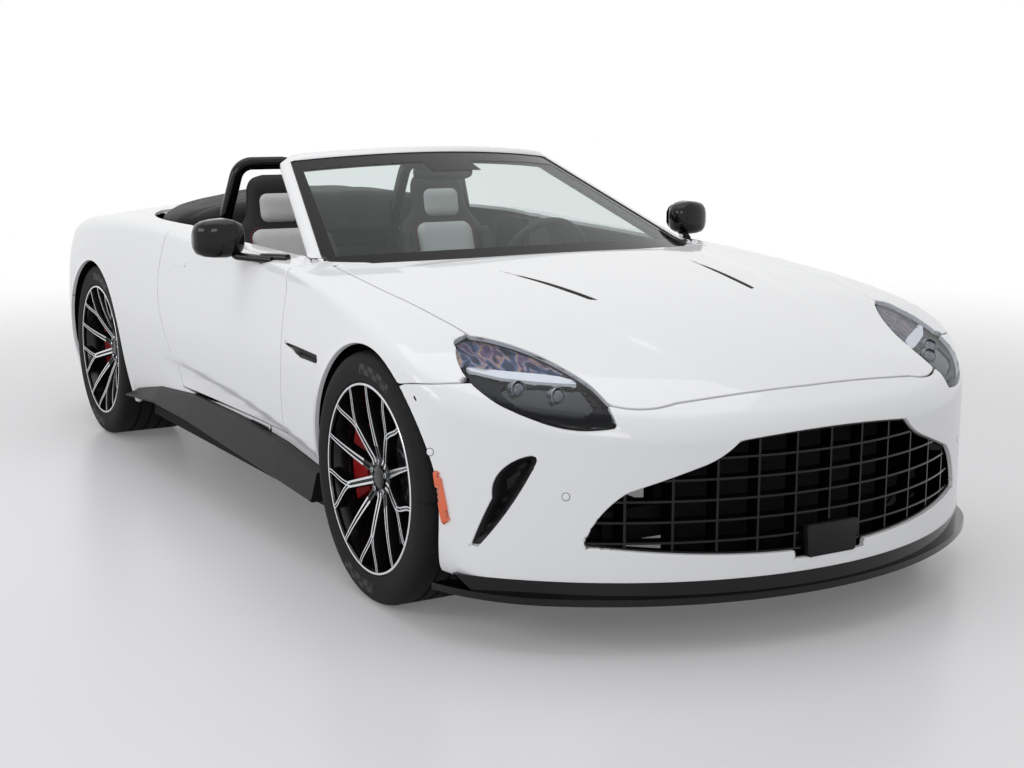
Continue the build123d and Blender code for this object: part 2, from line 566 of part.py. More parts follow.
liner_front = arch_liner(FA, FRONT_R, WELL_RADIUS, FRONT_WELL_Y - 10, 130)
liner_rear = arch_liner(RA, REAR_R, REAR_ARCH + 12, REAR_WELL_Y - 5, 130)
liner_front = liner_front - cabin_shell - front_frame - sill_left
liner_rear = liner_rear - cabin_shell - rear_frame - sill_left
save("arch_liners", liner_front, flip(liner_front), liner_rear, flip(liner_rear), crumb=60000)

# ---------------------------------------------------------------- engine, cabin
ENGINE = [(-150, 262), (150, 262), (230, 400), (320, 560), (320, 690), (250, 752), (-250, 752), (-320, 690),
          (-320, 560), (-230, 400)]
save("engine_block", front_prism(ENGINE, FA - 475, FA + 105))

DASH_SIDE = [(DASH_X - 250, 600), (DASH_X - 262, 760), (DASH_X - 215, 852), (DASH_X - 120, 872, "arc"),
             (DASH_X - 20, 868), (DASH_X + 58, 738), (DASH_X + 58, 600)]
dashboard = side_prism(DASH_SIDE, 738) & hull(SKIN + 12)
dashboard = dashboard - cabin_shell - windscreen_frame - screen_solid(-0.1, 1.0, 60, 60, 0, 30)
save("dashboard", dashboard)
CONSOLE_SIDE = [(DASH_X - 200, 400), (DASH_X - 200, 720), (DASH_X - 262, 690), (DASH_X - 420, 575), (DASH_X - 900, 560),
                (DASH_X - 1020, 590), (DASH_X - 1060, 400)]
save("centre_console", side_prism(CONSOLE_SIDE, 118) - dashboard - centre_tunnel)

COLUMN_Y, RIM_CENTRE, RIM_TILT, RIM_RADIUS = 368.0, (DASH_X - 388, 800.0), 22.0, 178.0
wheel_plane = Plane(origin=(RIM_CENTRE[0], COLUMN_Y, RIM_CENTRE[1]),
                    x_dir=(0, 1, 0), z_dir=(-cos(radians(RIM_TILT)), 0, sin(radians(RIM_TILT))))
GRIP = 15.0
grip = Pos(RIM_RADIUS, 0) * RegularPolygon(GRIP, 8, rotation=22.5)
wheel = revolve(Plane.XZ * grip, Axis.Z)
wheel = wheel + Cylinder(62, 34) + Pos(0, 0, -50) * Cylinder(24, 80)
for turn in (0, 180, -90):
    wheel = wheel + Rot(0, 0, turn) * Pos(RIM_RADIUS / 2, 0, -4) * Box(RIM_RADIUS, 34, 14)
wheel = wheel - Pos(0, 0, -60) * Cylinder(14 + PIVOT_CLEAR, 62)
save("steering_wheel", wheel_plane.location * wheel)
column = Pos(0, 0, -230) * Cylinder(38, 170) + Pos(0, 0, -140) * Cylinder(14, 210)
column = wheel_plane.location * (column - Pos(0, 0, 0) * Box(60, 60, 56)) - dashboard
save("steering_column", column, crumb=60000)

# Seats: base, backrest with its head part, and the side bolsters of each
SEAT_Y, SEAT_HALF = 372.0, 238.0
SEAT_BASE = [(RA + 790, FLOOR_Z + CABIN_FLOOR), (RA + 1290, FLOOR_Z + CABIN_FLOOR), (RA + 1330, 345),
             (RA + 1300, 400, "arc"), (RA + 1240, 410), (RA + 830, 372), (RA + 770, 320)]
BACK = [(RA + 700, 300), (RA + 835, 380), (RA + 740, 700, "arc"), (RA + 640, 960), (RA + 612, 1098),
        (RA + 585, 1112, "arc"), (RA + 560, 1098), (RA + 555, 960), (RA + 600, 620, "arc")]


def seat():
    base = side_prism(SEAT_BASE, SEAT_HALF)
    outline = [(SEAT_HALF, 280), (SEAT_HALF + 4, 640, "arc"), (196, 890), (132, 960), (116, 1090), (0, 1128, "arc"),
               (-116, 1090), (-132, 960), (-196, 890), (-SEAT_HALF - 4, 640, "arc"), (-SEAT_HALF, 280)]
    back = side_prism(BACK, SEAT_HALF + 10) & front_prism(outline, RA, RA + 1400)
    pads = both(side_prism([(x + 46, z + 30, *r) for x, z, *r in BACK[:4]] + [(RA + 600, 900)], 40)
                & box(-3000, 3000, 0, 40, 400, 880))
    bolsters = both(Pos(0, SEAT_HALF - 42, 0) * pads & box(-3000, 3000, 0, SEAT_HALF + 4, 0, 900))
    rails = both(side_prism([(x, z + 52, *r) for x, z, *r in SEAT_BASE[2:6]] + [(RA + 830, 340)], 40)
                 & box(-3000, 3000, 0, 40, 0, 900))
    cushions = both(Pos(0, SEAT_HALF - 40, 0) * rails & box(-3000, 3000, 0, SEAT_HALF, 0, 900))
    return Pos(0, SEAT_Y, 0) * (base + back + bolsters + cushions)


seat_left = seat() - cabin_shell - rear_frame
save("seat_left", seat_left)
save("seat_right", flip(seat_left))

# Roll hoops behind the seats, on the shelf
HOOP_X, HOOP_TUBE = RA + 530, 27.0
HOOP_CORNERS = ((1, 0.45), (0.6, 1), (-0.6, 1), (-1, 0.45), (-1, -0.45), (-0.6, -1), (0.6, -1), (1, -0.45))
hoop_path = FilletPolyline((HOOP_X - 60, 560, SHELF_Z), (HOOP_X - 20, 552, 960), (HOOP_X, 500, 1165),
                           (HOOP_X, 262, 1165), (HOOP_X - 20, 214, 960), (HOOP_X - 60, 206, SHELF_Z), radius=70)
hoop_tube = [(HOOP_TUBE * x, HOOP_TUBE * 0.75 * y) for x, y in HOOP_CORNERS]
hoop = sweep(Plane(hoop_path ^ 0) * make_face(Polyline(*hoop_tube, close=True)), path=hoop_path)
hoop = hoop - box(-3000, 3000, -1200, 1200, 0, SHELF_Z)
save("roll_hoops", hoop, flip(hoop))

# Folded soft top: a crowned pack in its well between the hoops and the boot lid
TOP_PLAN = mirrored([(RA + 470, 0), (RA + 452, 480, "arc"), (RA + 300, 690), (RA + 160, 700, "arc"), (RA - 50, 600),
                     (RA - 118, 330, "arc"), (RA - 128, 0)])
crown = front_prism([(-760, SHELF_Z), (-760, 955), (0, 1052, "arc"), (760, 955), (760, SHELF_Z)], -3000, 0)
soft_top = plan_prism(TOP_PLAN) & crown - both(rod((HOOP_X - 60, 560, 700), (HOOP_X - 60, 560, 1300), 60))
soft_top = soft_top - both(rod((HOOP_X - 60, 206, 700), (HOOP_X - 60, 206, 1300), 60)) - rear_frame
save("folded_soft_top", soft_top)

# ---------------------------------------------------------------- mirrors, on the doors
POD_SECTIONS = (   # y, middle x and z, depth, height, corner radius
    (892, 266, 962, 62, 84, 22), (952, 262, 962, 112, 132, 36), (1030, 252, 960, 96, 118, 34),
    (1060, 244, 958, 48, 78, 20))


def pod_section(y, x, z, depth, height, radius):
    return (Plane(origin=(x, y, z), x_dir=(1, 0, 0), z_dir=(0, -1, 0)) * RectangleRounded(depth, height, radius)).wire()


pod = Solid.make_loft([pod_section(*row) for row in POD_SECTIONS], ruled=True)
arm = rod((264, 944, 936), (304, 926, 902), 20) + rod((304, 926, 902), (420, 846, 894), 15)
foot = Pos(424, 842, 898) * Rot(0, 0, -30) * Box(96, 30, 40)
mirror_left = pod + arm + foot - OUTER
save("mirror_left", mirror_left)
save("mirror_right", flip(mirror_left))

# ---------------------------------------------------------------- wheels
# Each wheel is drawn on its own axis: +Z points outwards and z = 0 is the rim's outer face.
RIM_LIP, RIM_BORE, HUB_R, SPINDLE_R = 274.0, 252.0, 64.0, 28.0
SPOKES, SPLIT_SHARE, SPOKE_DEPTH = 5, 0.60, 30.0
TYRE_PROUD = 5.0           # sidewalls stand past the rim on each side


def bar(a, b, wide_a, wide_b):
    """Tapered bar between two points of the wheel face."""
    along = Vector(b[0] - a[0], b[1] - a[1], 0).normalized()
    across = Vector(-along.Y, along.X, 0)
    a, b = Vector(*a, 0), Vector(*b, 0)
    corners = [a + across * wide_a / 2, b + across * wide_b / 2, b - across * wide_b / 2, a - across * wide_a / 2]
    return make_face(Polyline(*[(c.X, c.Y) for c in corners], close=True))


def polar(radius, angle):
    return radius * cos(radians(angle)), radius * sin(radians(angle))


def spoke_pattern():
    """Five Y-shaped arms and five single spokes between them: fifteen even ends at the rim."""
    pitch = 360 / (3 * SPOKES)
    split = SPLIT_SHARE * RIM_LIP
    faces = [Circle(HUB_R).face()]
    for i in range(SPOKES):
        turn = i * 360 / SPOKES + 90
        faces.append(bar(polar(40, turn), polar(split + 4, turn), 26, 20))
        for side in (-1, 1):
            faces.append(bar(polar(split - 4, turn), polar(RIM_LIP - 6, turn + side * pitch / 2), 17, 14))
        faces.append(bar(polar(30, turn + 36), polar(RIM_LIP - 6, turn + 36), 30, 15))
    return extrude(faces[0].fuse(*faces[1:]), 400, both=True)


def rim(tyre, dish):
    width = tyre["width"] - 2 * TYRE_PROUD
    barrel = revolve(Plane.XZ * make_face(Polyline(
        (RIM_LIP - 11, 0), (RIM_LIP, 0), (RIM_LIP, -9), (tyre["rim"] * 12.7, -13), (tyre["rim"] * 12.7, 13 - width),
        (RIM_LIP, 9 - width), (RIM_LIP, -width), (RIM_LIP - 10, -width), (RIM_BORE, 16 - width), (RIM_BORE, -44),
        (RIM_LIP - 14, -14), close=True)), Axis.Z)
    mid = (RIM_LIP + HUB_R) / 2
    web = revolve(Plane.XZ * outline_face([
        (0, -dish), (HUB_R, -dish), (mid, -dish * 0.52), (RIM_LIP - 9, -2), (RIM_LIP - 9, -SPOKE_DEPTH - 4),
        (mid, -dish * 0.52 - SPOKE_DEPTH), (HUB_R, -dish - SPOKE_DEPTH - 4), (0, -dish - SPOKE_DEPTH - 4)]), Axis.Z)
    wheel = barrel + (spoke_pattern() & web)
    for i in range(5):
        x, y = polar(46, 72 * i + 54)
        wheel = wheel - Pos(x, y, -dish) * Cylinder(9, 24)
    return wheel - Pos(0, 0, -dish - 60) * Cylinder(SPINDLE_R + PIVOT_CLEAR, 92)


def tyre_ring(tyre):
    """Hollow tyre on its rim."""
    bead, width, r = tyre["rim"] * 12.7, tyre["width"], tyre_radius(tyre)
    near, far = TYRE_PROUD, TYRE_PROUD - width
    mid = (bead + r) / 2
    back = 2 * TYRE_PROUD - width
    section = [
        (bead, -13.2), (RIM_LIP + 1, -9.2), (RIM_LIP + 5, 0), (mid, near, "arc"), (r - 14, near - 14),
        (r, near - 36), (r, far + 36), (r - 14, far + 14), (mid, far, "arc"), (RIM_LIP + 5, back),
        (RIM_LIP + 1, back + 9.2), (bead, back + 13.2), (bead, back + 32), (r - 16, far + 24), (r - 16, near - 24),
        (bead, -32)]
    return revolve(Plane.XZ * outline_face(section), Axis.Z)


def disc(radius, thick, inner_z, hat_z):
    """Brake disc, its inner face at inner_z, with a hat that reaches the hub face at hat_z."""
    ring = Pos(0, 0, inner_z + thick / 2) * (Cylinder(radius, thick) - Cylinder(74, thick))
    hat = Pos(0, 0, (inner_z + thick * 0.4 + hat_z) / 2) * Cylinder(78, hat_z - inner_z - thick * 0.4)
    return ring + hat - Cylinder(SPINDLE_R + PIVOT_CLEAR, 600)


def caliper(radius, thick, inner_z, start, stop):
    """Fixed caliper over the disc's rearward edge, with its carrier towards the knuckle."""
    clear = 6.0
    block = Pos(0, 0, (inner_z + thick / 2)) * (Cylinder(radius + 36, thick + 2 * clear + 44)
                                               - Cylinder(radius - 62, thick + 2 * clear + 44))
    wedge = extrude(make_face(Polyline((0, 0), polar(400, start), polar(400, stop), close=True)), 400, both=True)
    throat = Pos(0, 0, inner_z + thick / 2) * Cylinder(radius + 6, thick + 2 * clear)
    return (block & wedge) - throat


# Where a wheel's own axis sits: left wheels point +Z to +Y and keep +X forward.
def wheel_place(x, z, out_y):
    return Plane(origin=(x, out_y, z), x_dir=(1, 0, 0), z_dir=(0, 1, 0)).location


FRONT_DISH, REAR_DISH = 38.0, 65.0
CORNERS = (("front", FRONT_TYRE, FA, FRONT_R, FRONT_TRACK_OUT, FRONT_DISH),
           ("rear", REAR_TYRE, RA, REAR_R, REAR_TRACK_OUT, REAR_DISH))
for end, tyre, x, radius, out_y, dish in CORNERS:
    place = wheel_place(x, radius, out_y)
    hub_back = -dish - SPOKE_DEPTH - 4
    disc_in = hub_back - (DISC_THICK + 22 if end == "front" else DISC_THICK + 16)
    parts = dict(rim=rim(tyre, dish), tyre=tyre_ring(tyre), brake_disc=disc(DISC_RADIUS, DISC_THICK, disc_in, hub_back))
    calip = caliper(DISC_RADIUS, DISC_THICK, disc_in, 152, 208)
    knuckle_out = disc_in - 10
    knuckle_in = (KINGPIN_Y - 34 - out_y) if end == "front" else REAR_WELL_Y + 75 - out_y
    upright = Pos(0, 0, (knuckle_out + knuckle_in) / 2) * Box(96, 2 * BALL_RISE - 10, knuckle_out - knuckle_in)
    upright = upright + Pos(-120, 0, knuckle_out - 12) * Box(240, 70, 24)
    upright = upright + Pos(0, 0, (knuckle_out - dish - 20) / 2) * Cylinder(SPINDLE_R, -dish - 20 - knuckle_out)
    calip = calip + Pos(-DISC_RADIUS + 12, 0, knuckle_out - 6) * Box(70, 70, 12) - upright
    for node, shape in parts.items():
        left = place * shape
        save(f"{node}_{end}_left", left)
        save(f"{node}_{end}_right", flip(left))
    if end == "front":
        knuckle, front_caliper = place * upright, place * calip
    else:
        rear_upright, rear_caliper = place * upright, place * calip

socket = rod((FA, KINGPIN_Y, FRONT_R - BALL_RISE), (FA, KINGPIN_Y, FRONT_R + BALL_RISE), 14 + PIVOT_CLEAR)
knuckle = knuckle - (socket - box(FA - 100, FA + 100, 600, 900, FRONT_R - BALL_RISE + 40, FRONT_R + BALL_RISE - 40))
save("knuckle_front_left", knuckle)
save("knuckle_front_right", flip(knuckle))
save("caliper_front_left", front_caliper)
save("caliper_front_right", flip(front_caliper))
save("calipers_rear", rear_caliper, flip(rear_caliper))


def wishbone(x, y_in, y_out, z, reach, thick=14):
    """Flat two-legged arm from the tower to a joint at (x, y_out)."""
    arm = outline_face([(x - reach, y_in), (x - reach + 36, y_in), (x, y_out - 60), (x + reach - 36, y_in),
                        (x + reach, y_in), (x + 22, y_out), (x, y_out + 22, "arc"), (x - 22, y_out)])
    return Pos(0, 0, z - thick / 2) * extrude(arm, thick)


arms = []
for sign in (-1, 1):
    z = FRONT_R + sign * (BALL_RISE + 15)
    arm = wishbone(FA, FRONT_WELL_Y - 10, KINGPIN_Y, z, 75)
    arm = arm + rod((FA, KINGPIN_Y, z), (FA, KINGPIN_Y, z - sign * 45), 14)
    arms.append(arm)
save("front_arms", arms[0], flip(arms[0]), arms[1], flip(arms[1]))

rear_arms = []
for sign in (-1, 1):
    z = REAR_R + sign * (BALL_RISE - 18)
    rear_arms.append(wishbone(RA, REAR_WELL_Y - 5, REAR_WELL_Y + 110, z, 75))
half_shaft = rod((RA, 100, REAR_R), (RA, REAR_WELL_Y + 80, REAR_R), 20)
axle_left = rear_upright + rear_arms[0] + rear_arms[1] + half_shaft
final_drive = box(RA - 130, RA + 120, -125, 125, REAR_R - 110, REAR_R + 50)
cradle = box(RA - 75, RA - 35, -REAR_WELL_Y + 60, REAR_WELL_Y - 60, 222, 250)
cradle = cradle + box(RA - 75, RA - 35, -60, 60, 240, REAR_R - 60)
rear_axle = axle_left + flip(axle_left) + final_drive + cradle - rear_frame
save("rear_axle", rear_axle)
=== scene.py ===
"""Open two-seat sports car: finished surfaces, wheels, lamps, cabin and studio around the frame.

Lengths are in millimetres until a mesh is made, in the frame's own axes: +X forward, +Y left, +Z up.
"""
from math import atan2, cos, pi, radians, sin, sqrt

import bmesh
import bpy
import numpy as np
from mathutils import Matrix, Vector


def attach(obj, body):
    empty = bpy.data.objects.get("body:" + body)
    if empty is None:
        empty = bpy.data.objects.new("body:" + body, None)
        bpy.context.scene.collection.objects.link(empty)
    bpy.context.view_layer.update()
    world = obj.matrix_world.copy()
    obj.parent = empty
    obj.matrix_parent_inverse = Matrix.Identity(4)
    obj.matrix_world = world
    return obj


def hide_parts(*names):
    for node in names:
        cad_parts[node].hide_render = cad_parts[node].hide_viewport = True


bl_info = {
    "name": "Open Two-Seat Sports Car",
    "version": (1, 0, 0),
    "blender": (4, 5, 0),
    "location": "View3D > Sidebar > Roadster",
    "description": "Builds the car's finished surfaces around its frame",
    "category": "Object",
}

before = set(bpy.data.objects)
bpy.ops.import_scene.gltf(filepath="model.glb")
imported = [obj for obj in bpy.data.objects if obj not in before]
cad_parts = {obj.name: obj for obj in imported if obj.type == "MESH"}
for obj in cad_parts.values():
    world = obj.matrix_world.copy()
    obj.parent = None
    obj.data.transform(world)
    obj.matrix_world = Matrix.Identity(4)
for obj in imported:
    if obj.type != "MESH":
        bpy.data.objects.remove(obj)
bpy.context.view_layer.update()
MM = 0.001

# ------------------------------------------------------------------ driving dimensions, as in the frame
LENGTH, WHEELBASE, FRONT_OVERHANG, SETBACK = 4495.0, 2705.0, 875.5, 10.0
FLOOR_Z, SKIN, GAP, SEAM = 150.0, 12.0, 4.6, 2.0
FA = LENGTH / 2 - FRONT_OVERHANG
RA = FA - WHEELBASE
TIP = LENGTH / 2 - SETBACK
FRONT_R, REAR_R = 362.95, 364.2
FRONT_ARCH, REAR_ARCH = FRONT_R + 23, REAR_R + 19
SILL_TOP = 352.0

# Body sections: station, half-width at the sill, widest point (y, z), shoulder (y, z), centre height, radius
SECTIONS = np.array((
    (RA - 1200, 790, 830, 580, 680, 710, 880, 120),
    (RA - 967, 835, 890, 600, 770, 790, 918, 120),
    (RA - 417, 885, 972, 640, 895, 895, 962, 150),
    (RA, 890, 990, 620, 925, 925, 972, 140),
    (RA + 533, 890, 968, 590, 905, 935, 962, 90),
    (FA - 1722, 885, 943, 560, 882, 918, 948, 70),
    (FA - 1172, 880, 930, 560, 872, 903, 935, 70),
    (FA - 672, 880, 935, 570, 882, 882, 922, 80),
    (FA - 322, 885, 958, 600, 912, 848, 900, 90),
    (FA, 890, 990, 620, 945, 802, 868, 110),
    (FA + 228, 885, 990, 560, 960, 745, 832, 110),
    (FA + 448, 875, 990, 450, 955, 635, 778, 100),
    (FA + 668, 865, 985, 360, 930, 505, 706, 80),
    (FA + 843, 855, 960, 260, 880, 340, 613, 60),
    (FA + 960, 850, 930, 215, 850, 225, 520, 40),
))
NOSE_RADIUS, NOSE_CORNER = 1150.0, 500.0
TAIL_RADIUS, TAIL_CORNER = 1400.0, 520.0
HALF_MAX = 1000.0
SHOULDER = 0.3             # share of the listed radius that a rounded corner of two fields takes
TAIL_PROFILE = ((0, 120), (200, 90), (400, 14), (560, 0), (700, 22), (900, 120), (960, 160), (1500, 700))


# ------------------------------------------------------------------ outer surface as a field
def hermite(x, xs, ys):
    """Smooth curve through the points (xs, ys), with a slope at each taken from its neighbours."""
    slopes = np.gradient(ys, xs, axis=0)
    i = np.clip(np.searchsorted(xs, x) - 1, 0, len(xs) - 2)
    step = xs[i + 1] - xs[i]
    t = np.clip((x - xs[i]) / step, 0, 1)
    if ys.ndim > 1:
        t, step = t[:, None], step[:, None]
    a, b = 1 + t * t * (2 * t - 3), t * t * (3 - 2 * t)
    return a * ys[i] + b * ys[i + 1] + step * (t * (1 - t) ** 2 * slopes[i] - t * t * (1 - t) * slopes[i + 1])


def circle_through(ax, ay, bx, by, cx, cy):
    """Centre and radius of the circle through three points, for arrays of them."""
    d = 2 * (ax * (by - cy) + bx * (cy - ay) + cx * (ay - by))
    ux = ((ax**2 + ay**2) * (by - cy) + (bx**2 + by**2) * (cy - ay) + (cx**2 + cy**2) * (ay - by)) / d
    uy = ((ax**2 + ay**2) * (cx - bx) + (bx**2 + by**2) * (ax - cx) + (cx**2 + cy**2) * (bx - ax)) / d
    return ux, uy, np.hypot(ax - ux, ay - uy)


def round_max(a, b, radius):
    """The outer of two fields, with their corner rounded."""
    return (np.minimum(np.maximum(a, b) + radius, 0) - radius
            + np.hypot(np.maximum(a + radius, 0), np.maximum(b + radius, 0)))


def end_field(x, y, tip, radius, corner):
    """Distance outside the plan outline of the nose, or of the tail for a mirrored x."""
    turn = atan2(HALF_MAX - corner, sqrt((radius - corner) ** 2 - (HALF_MAX - corner) ** 2))
    centre = tip - radius
    cx, cy = centre + (radius - corner) * cos(turn), (radius - corner) * sin(turn)
    wide = np.hypot(x - centre, y) - radius
    near = np.hypot(np.maximum(x - cx, 0), np.maximum(y - cy, 0)) - corner
    near = np.where((x < cx) | (y < cy), np.maximum(x - cx, y - cy) - corner, near)
    return np.where(np.arctan2(y, x - centre) < turn, wide, near)


def smooth(t):
    """Eases from 0 to 1, level at both ends."""
    t = np.clip(t, 0, 1)
    return t * t * (3 - 2 * t)


def relief(x, y, z):
    """Height of the soft pressings over the plain form: wheel lips, the bonnet's dome, the doors' hollow."""
    lips = 0.0
    for ax, az, radius in ((FA, FRONT_R, FRONT_ARCH), (RA, REAR_R, REAR_ARCH)):
        ring = np.hypot(x - ax, z - az) - radius
        lips = lips + 4.5 * np.exp(-(ring / 15.0) ** 2) * smooth((y - 820) / 60)
    ridge = np.interp(x, (FA - 520, FA + 100, FA + 700), (610, 470, 290))
    dome = 7.0 * smooth((ridge - y) / 60) * smooth((FA + 690 - x) / 260) * smooth((x - FA + 560) / 100)
    dome = dome * smooth((z - 560) / 60)
    line = np.interp(x, (RA + 1050, FA - 1122, FA - 672, FA - 416), (462, 432, 387, 357))
    below = line - z
    along = smooth((x - RA - 800) / 250) * smooth((FA - 380 - x) / 60) * smooth((y - 780) / 60)
    hollow = -13.0 * smooth(below / 34) * smooth((150 - below) / 100) * along
    return lips + dome + hollow


def body_field(p):
    """Distance of points outside the finished body, negative within it."""
    x, y, z = p[:, 0], np.abs(p[:, 1]), p[:, 2]
    sill, wide, wide_z, crest, crest_z, top, radius = hermite(x, SECTIONS[:, 0], SECTIONS[:, 1:]).T
    cy, cz, r = circle_through(sill, FLOOR_Z + 0 * sill, wide, wide_z, crest, crest_z)
    on_arc = np.clip(z, FLOOR_Z, crest_z)
    half = np.sqrt(np.maximum(r**2 - (on_arc - cz) ** 2, 1.0))
    slope = np.maximum((cz - on_arc) / half, -1.5)
    side = (y - cy - half - slope * (z - on_arc)) / np.hypot(1, slope)
    rise = top - crest_z
    r = (crest**2 + rise**2) / (2 * rise)
    roof = np.hypot(y, z - top + r) - r
    f = round_max(side, roof, radius * SHOULDER)
    f = round_max(f, end_field(x, y, TIP, NOSE_RADIUS, NOSE_CORNER), 45)
    heights, backs = np.array(TAIL_PROFILE, float).T
    lean = np.interp(z, heights, backs)
    f = round_max(f, end_field(-x, y, TIP, TAIL_RADIUS, TAIL_CORNER), 25)
    f = round_max(f, lean - TIP - x, 25)
    return np.maximum(f - relief(x, y, z), 170 - z)


def gradient(p, step=0.5):
    """Unit normals of the field."""
    g = np.stack([body_field(p + d) - body_field(p - d) for d in np.eye(3) * step], axis=1)
    return g / np.linalg.norm(g, axis=1, keepdims=True)


def body_grid(around=190, along=190, cap=90):
    """Left half of the body as one triangle mesh, from rays that leave a line along the car's middle."""
    low, high, rear, front, mid_z = -pi / 2, pi / 2, RA - 100, FA - 150, 480.0
    theta = np.linspace(low, high, around)
    rows = [(rear, phi) for phi in np.linspace(-pi / 2, 0, cap, endpoint=False)]
    rows += [(x, 0.0) for x in np.linspace(rear, front, along, endpoint=False)]
    rows += [(front, phi) for phi in np.linspace(0, pi / 2, cap)]
    origin = np.array([(x, 0, mid_z) for x, phi in rows])[:, None, :].repeat(around, 1)
    way = np.array([[(sin(phi), cos(phi) * cos(t), cos(phi) * sin(t)) for t in theta] for x, phi in rows])
    origin, way = origin.reshape(-1, 3), way.reshape(-1, 3)
    near, far = np.zeros(len(way)), np.full(len(way), 1500.0)
    for _ in range(24):
        mid = (near + far) / 2
        outside = body_field(origin + way * mid[:, None]) > 0
        near, far = np.where(outside, near, mid), np.where(outside, mid, far)
    points = origin + way * near[:, None]
    index = np.arange(len(rows) * around).reshape(len(rows), around)
    a, b, c, d = index[:-1, :-1], index[1:, :-1], index[1:, 1:], index[:-1, 1:]
    tris = np.concatenate([np.stack([a, c, b], -1).reshape(-1, 3), np.stack([a, d, c], -1).reshape(-1, 3)])
    return points, tris


# ------------------------------------------------------------------ outlines and clipping
def sample(outline, steps=24):
    """Polygon points of an outline whose (x, y, 'arc') entries are the middles of arcs."""
    points, n, i = [], len(outline), 0
    while i < n:
        a, b, c = outline[i], outline[(i + 1) % n], outline[(i + 2) % n]
        points.append(a[:2])
        if len(b) == 3:
            ux, uy, r = circle_through(*(float(v) for v in (*a[:2], *b[:2], *c[:2])))
            t = [atan2(q[1] - uy, q[0] - ux) for q in (a, b, c)]
            span = (t[2] - t[0]) % (2 * pi)
            if (t[1] - t[0]) % (2 * pi) > span:
                span -= 2 * pi
            points += [(ux + r * cos(t[0] + span * k / steps), uy + r * sin(t[0] + span * k / steps))
                       for k in range(1, steps)]
            i += 2
        else:
            i += 1
    return np.array(points, float)


def mirrored(points):
    """An outline of the left side, closed by its mirror image on the right."""
    return list(points) + [(x, -y, *rest) for x, y, *rest in points[-2:0:-1]]


def outline_field(outline, p, axes):
    """Signed distance to an outline in the plane of two axes: negative within it."""
    poly, q = sample(outline), p[:, axes]
    best, inside = np.full(len(q), 1e18), np.zeros(len(q), bool)
    for a, b in zip(poly, np.roll(poly, -1, axis=0)):
        ab, aq = b - a, q - a
        t = np.clip(aq @ ab / max(ab @ ab, 1e-9), 0, 1)
        best = np.minimum(best, np.sum((aq - t[:, None] * ab) ** 2, axis=1))
        crosses = (a[1] > q[:, 1]) != (b[1] > q[:, 1])
        with np.errstate(divide="ignore", invalid="ignore"):
            inside ^= crosses & (q[:, 0] < (b[0] - a[0]) * (q[:, 1] - a[1]) / (b[1] - a[1]) + a[0])
    return np.where(inside, -1, 1) * np.sqrt(best)


PLAN, SIDE, FRONT = [0, 1], [0, 2], [1, 2]


def split(points, tris, values, snap=0.02):
    """Inserts the line where values cross zero."""
    values = np.where(np.abs(values) < snap, 0.0, values)
    v = values[tris]
    mixed = (v.max(1) > 0) & (v.min(1) < 0)
    keep, cut, v = tris[~mixed], tris[mixed], v[mixed]
    if not len(cut):
        return points, tris, values
    positive = v > 0
    negative = v < 0
    lone_sign = np.where(positive.sum(1) == 1, 1, -1)
    lone = np.where(lone_sign == 1, positive.argmax(1), negative.argmax(1))
    order = (lone[:, None] + np.arange(3)) % 3
    cut = np.take_along_axis(cut, order, 1)
    edges = np.concatenate([cut[:, [0, 1]], cut[:, [0, 2]]])
    key = np.sort(edges, 1)
    unique, back = np.unique(key[:, 0] * len(points) + key[:, 1], return_inverse=True)
    a, b = unique // len(points), unique % len(points)
    va, vb = values[a], values[b]
    crosses = va * vb < 0
    t = np.where(crosses, va / np.where(crosses, va - vb, 1), 0)
    onzero = ~crosses
    t = np.where(onzero, np.where(va == 0, 0.0, 1.0), t)
    fresh = points[a] + (points[b] - points[a]) * t[:, None]
    index = np.where(crosses, len(points) + np.arange(len(unique)), np.where(va == 0, a, b))
    p, q = index[back[:len(cut)]], index[back[len(cut):]]
    o, m, n = cut.T
    new = np.concatenate([np.stack([o, p, q], 1), np.stack([p, m, n], 1), np.stack([p, n, q], 1)])
    new = new[(new[:, 0] != new[:, 1]) & (new[:, 1] != new[:, 2]) & (new[:, 0] != new[:, 2])]
    return (np.concatenate([points, fresh]), np.concatenate([keep, new]),
            np.concatenate([values, np.zeros(len(fresh))]))


def clip(points, tris, values):
    """Keeps the part of a surface where values are negative."""
    points, tris, values = split(points, tris, values)
    tris = tris[values[tris].sum(1) < 0]
    used, tris = np.unique(tris, return_inverse=True)
    return points[used], tris.reshape(-1, 3)


# ------------------------------------------------------------------ panel outlines, as in the frame
DOOR_SIDE = [(FA - 700, SILL_TOP + 8), (FA - 700, 600), (FA - 708, 700), (FA - 724, 820), (FA - 832, 990),
             (RA + 784, 990), (RA + 782, 780), (RA + 815, 650, "arc"), (RA + 905, 520), (RA + 975, 432),
             (RA + 1010, SILL_TOP + 8)]
BONNET_TIP = FA + 753
BONNET_PLAN = mirrored([
    (BONNET_TIP, 0), (BONNET_TIP - 18, 240, "arc"), (FA + 706, 410), (FA + 686, 505, "arc"), (FA + 641, 571),
    (FA + 563, 574), (FA + 390, 621, "arc"), (FA + 233, 719), (FA + 212, 742), (FA - 280, 764, "arc"),
    (FA - 700, 742), (FA - 578, 430, "arc"), (FA - 506, 0)])
LAMP_PLAN = [(FA + 252, 806), (FA + 207, 770, "arc"), (FA + 233, 723), (FA + 390, 625, "arc"),
             (FA + 563, 578), (FA + 694, 582), (FA + 617, 706, "arc"), (FA + 497, 812),
             (FA + 381, 843, "arc")]
BUMPER_SIDE = [(FA + 200, 0), (FA + 200, 668), (FA + 300, 683), (FA + 400, 692), (FA + 400, 900),
               (2600, 900), (2600, 0)]
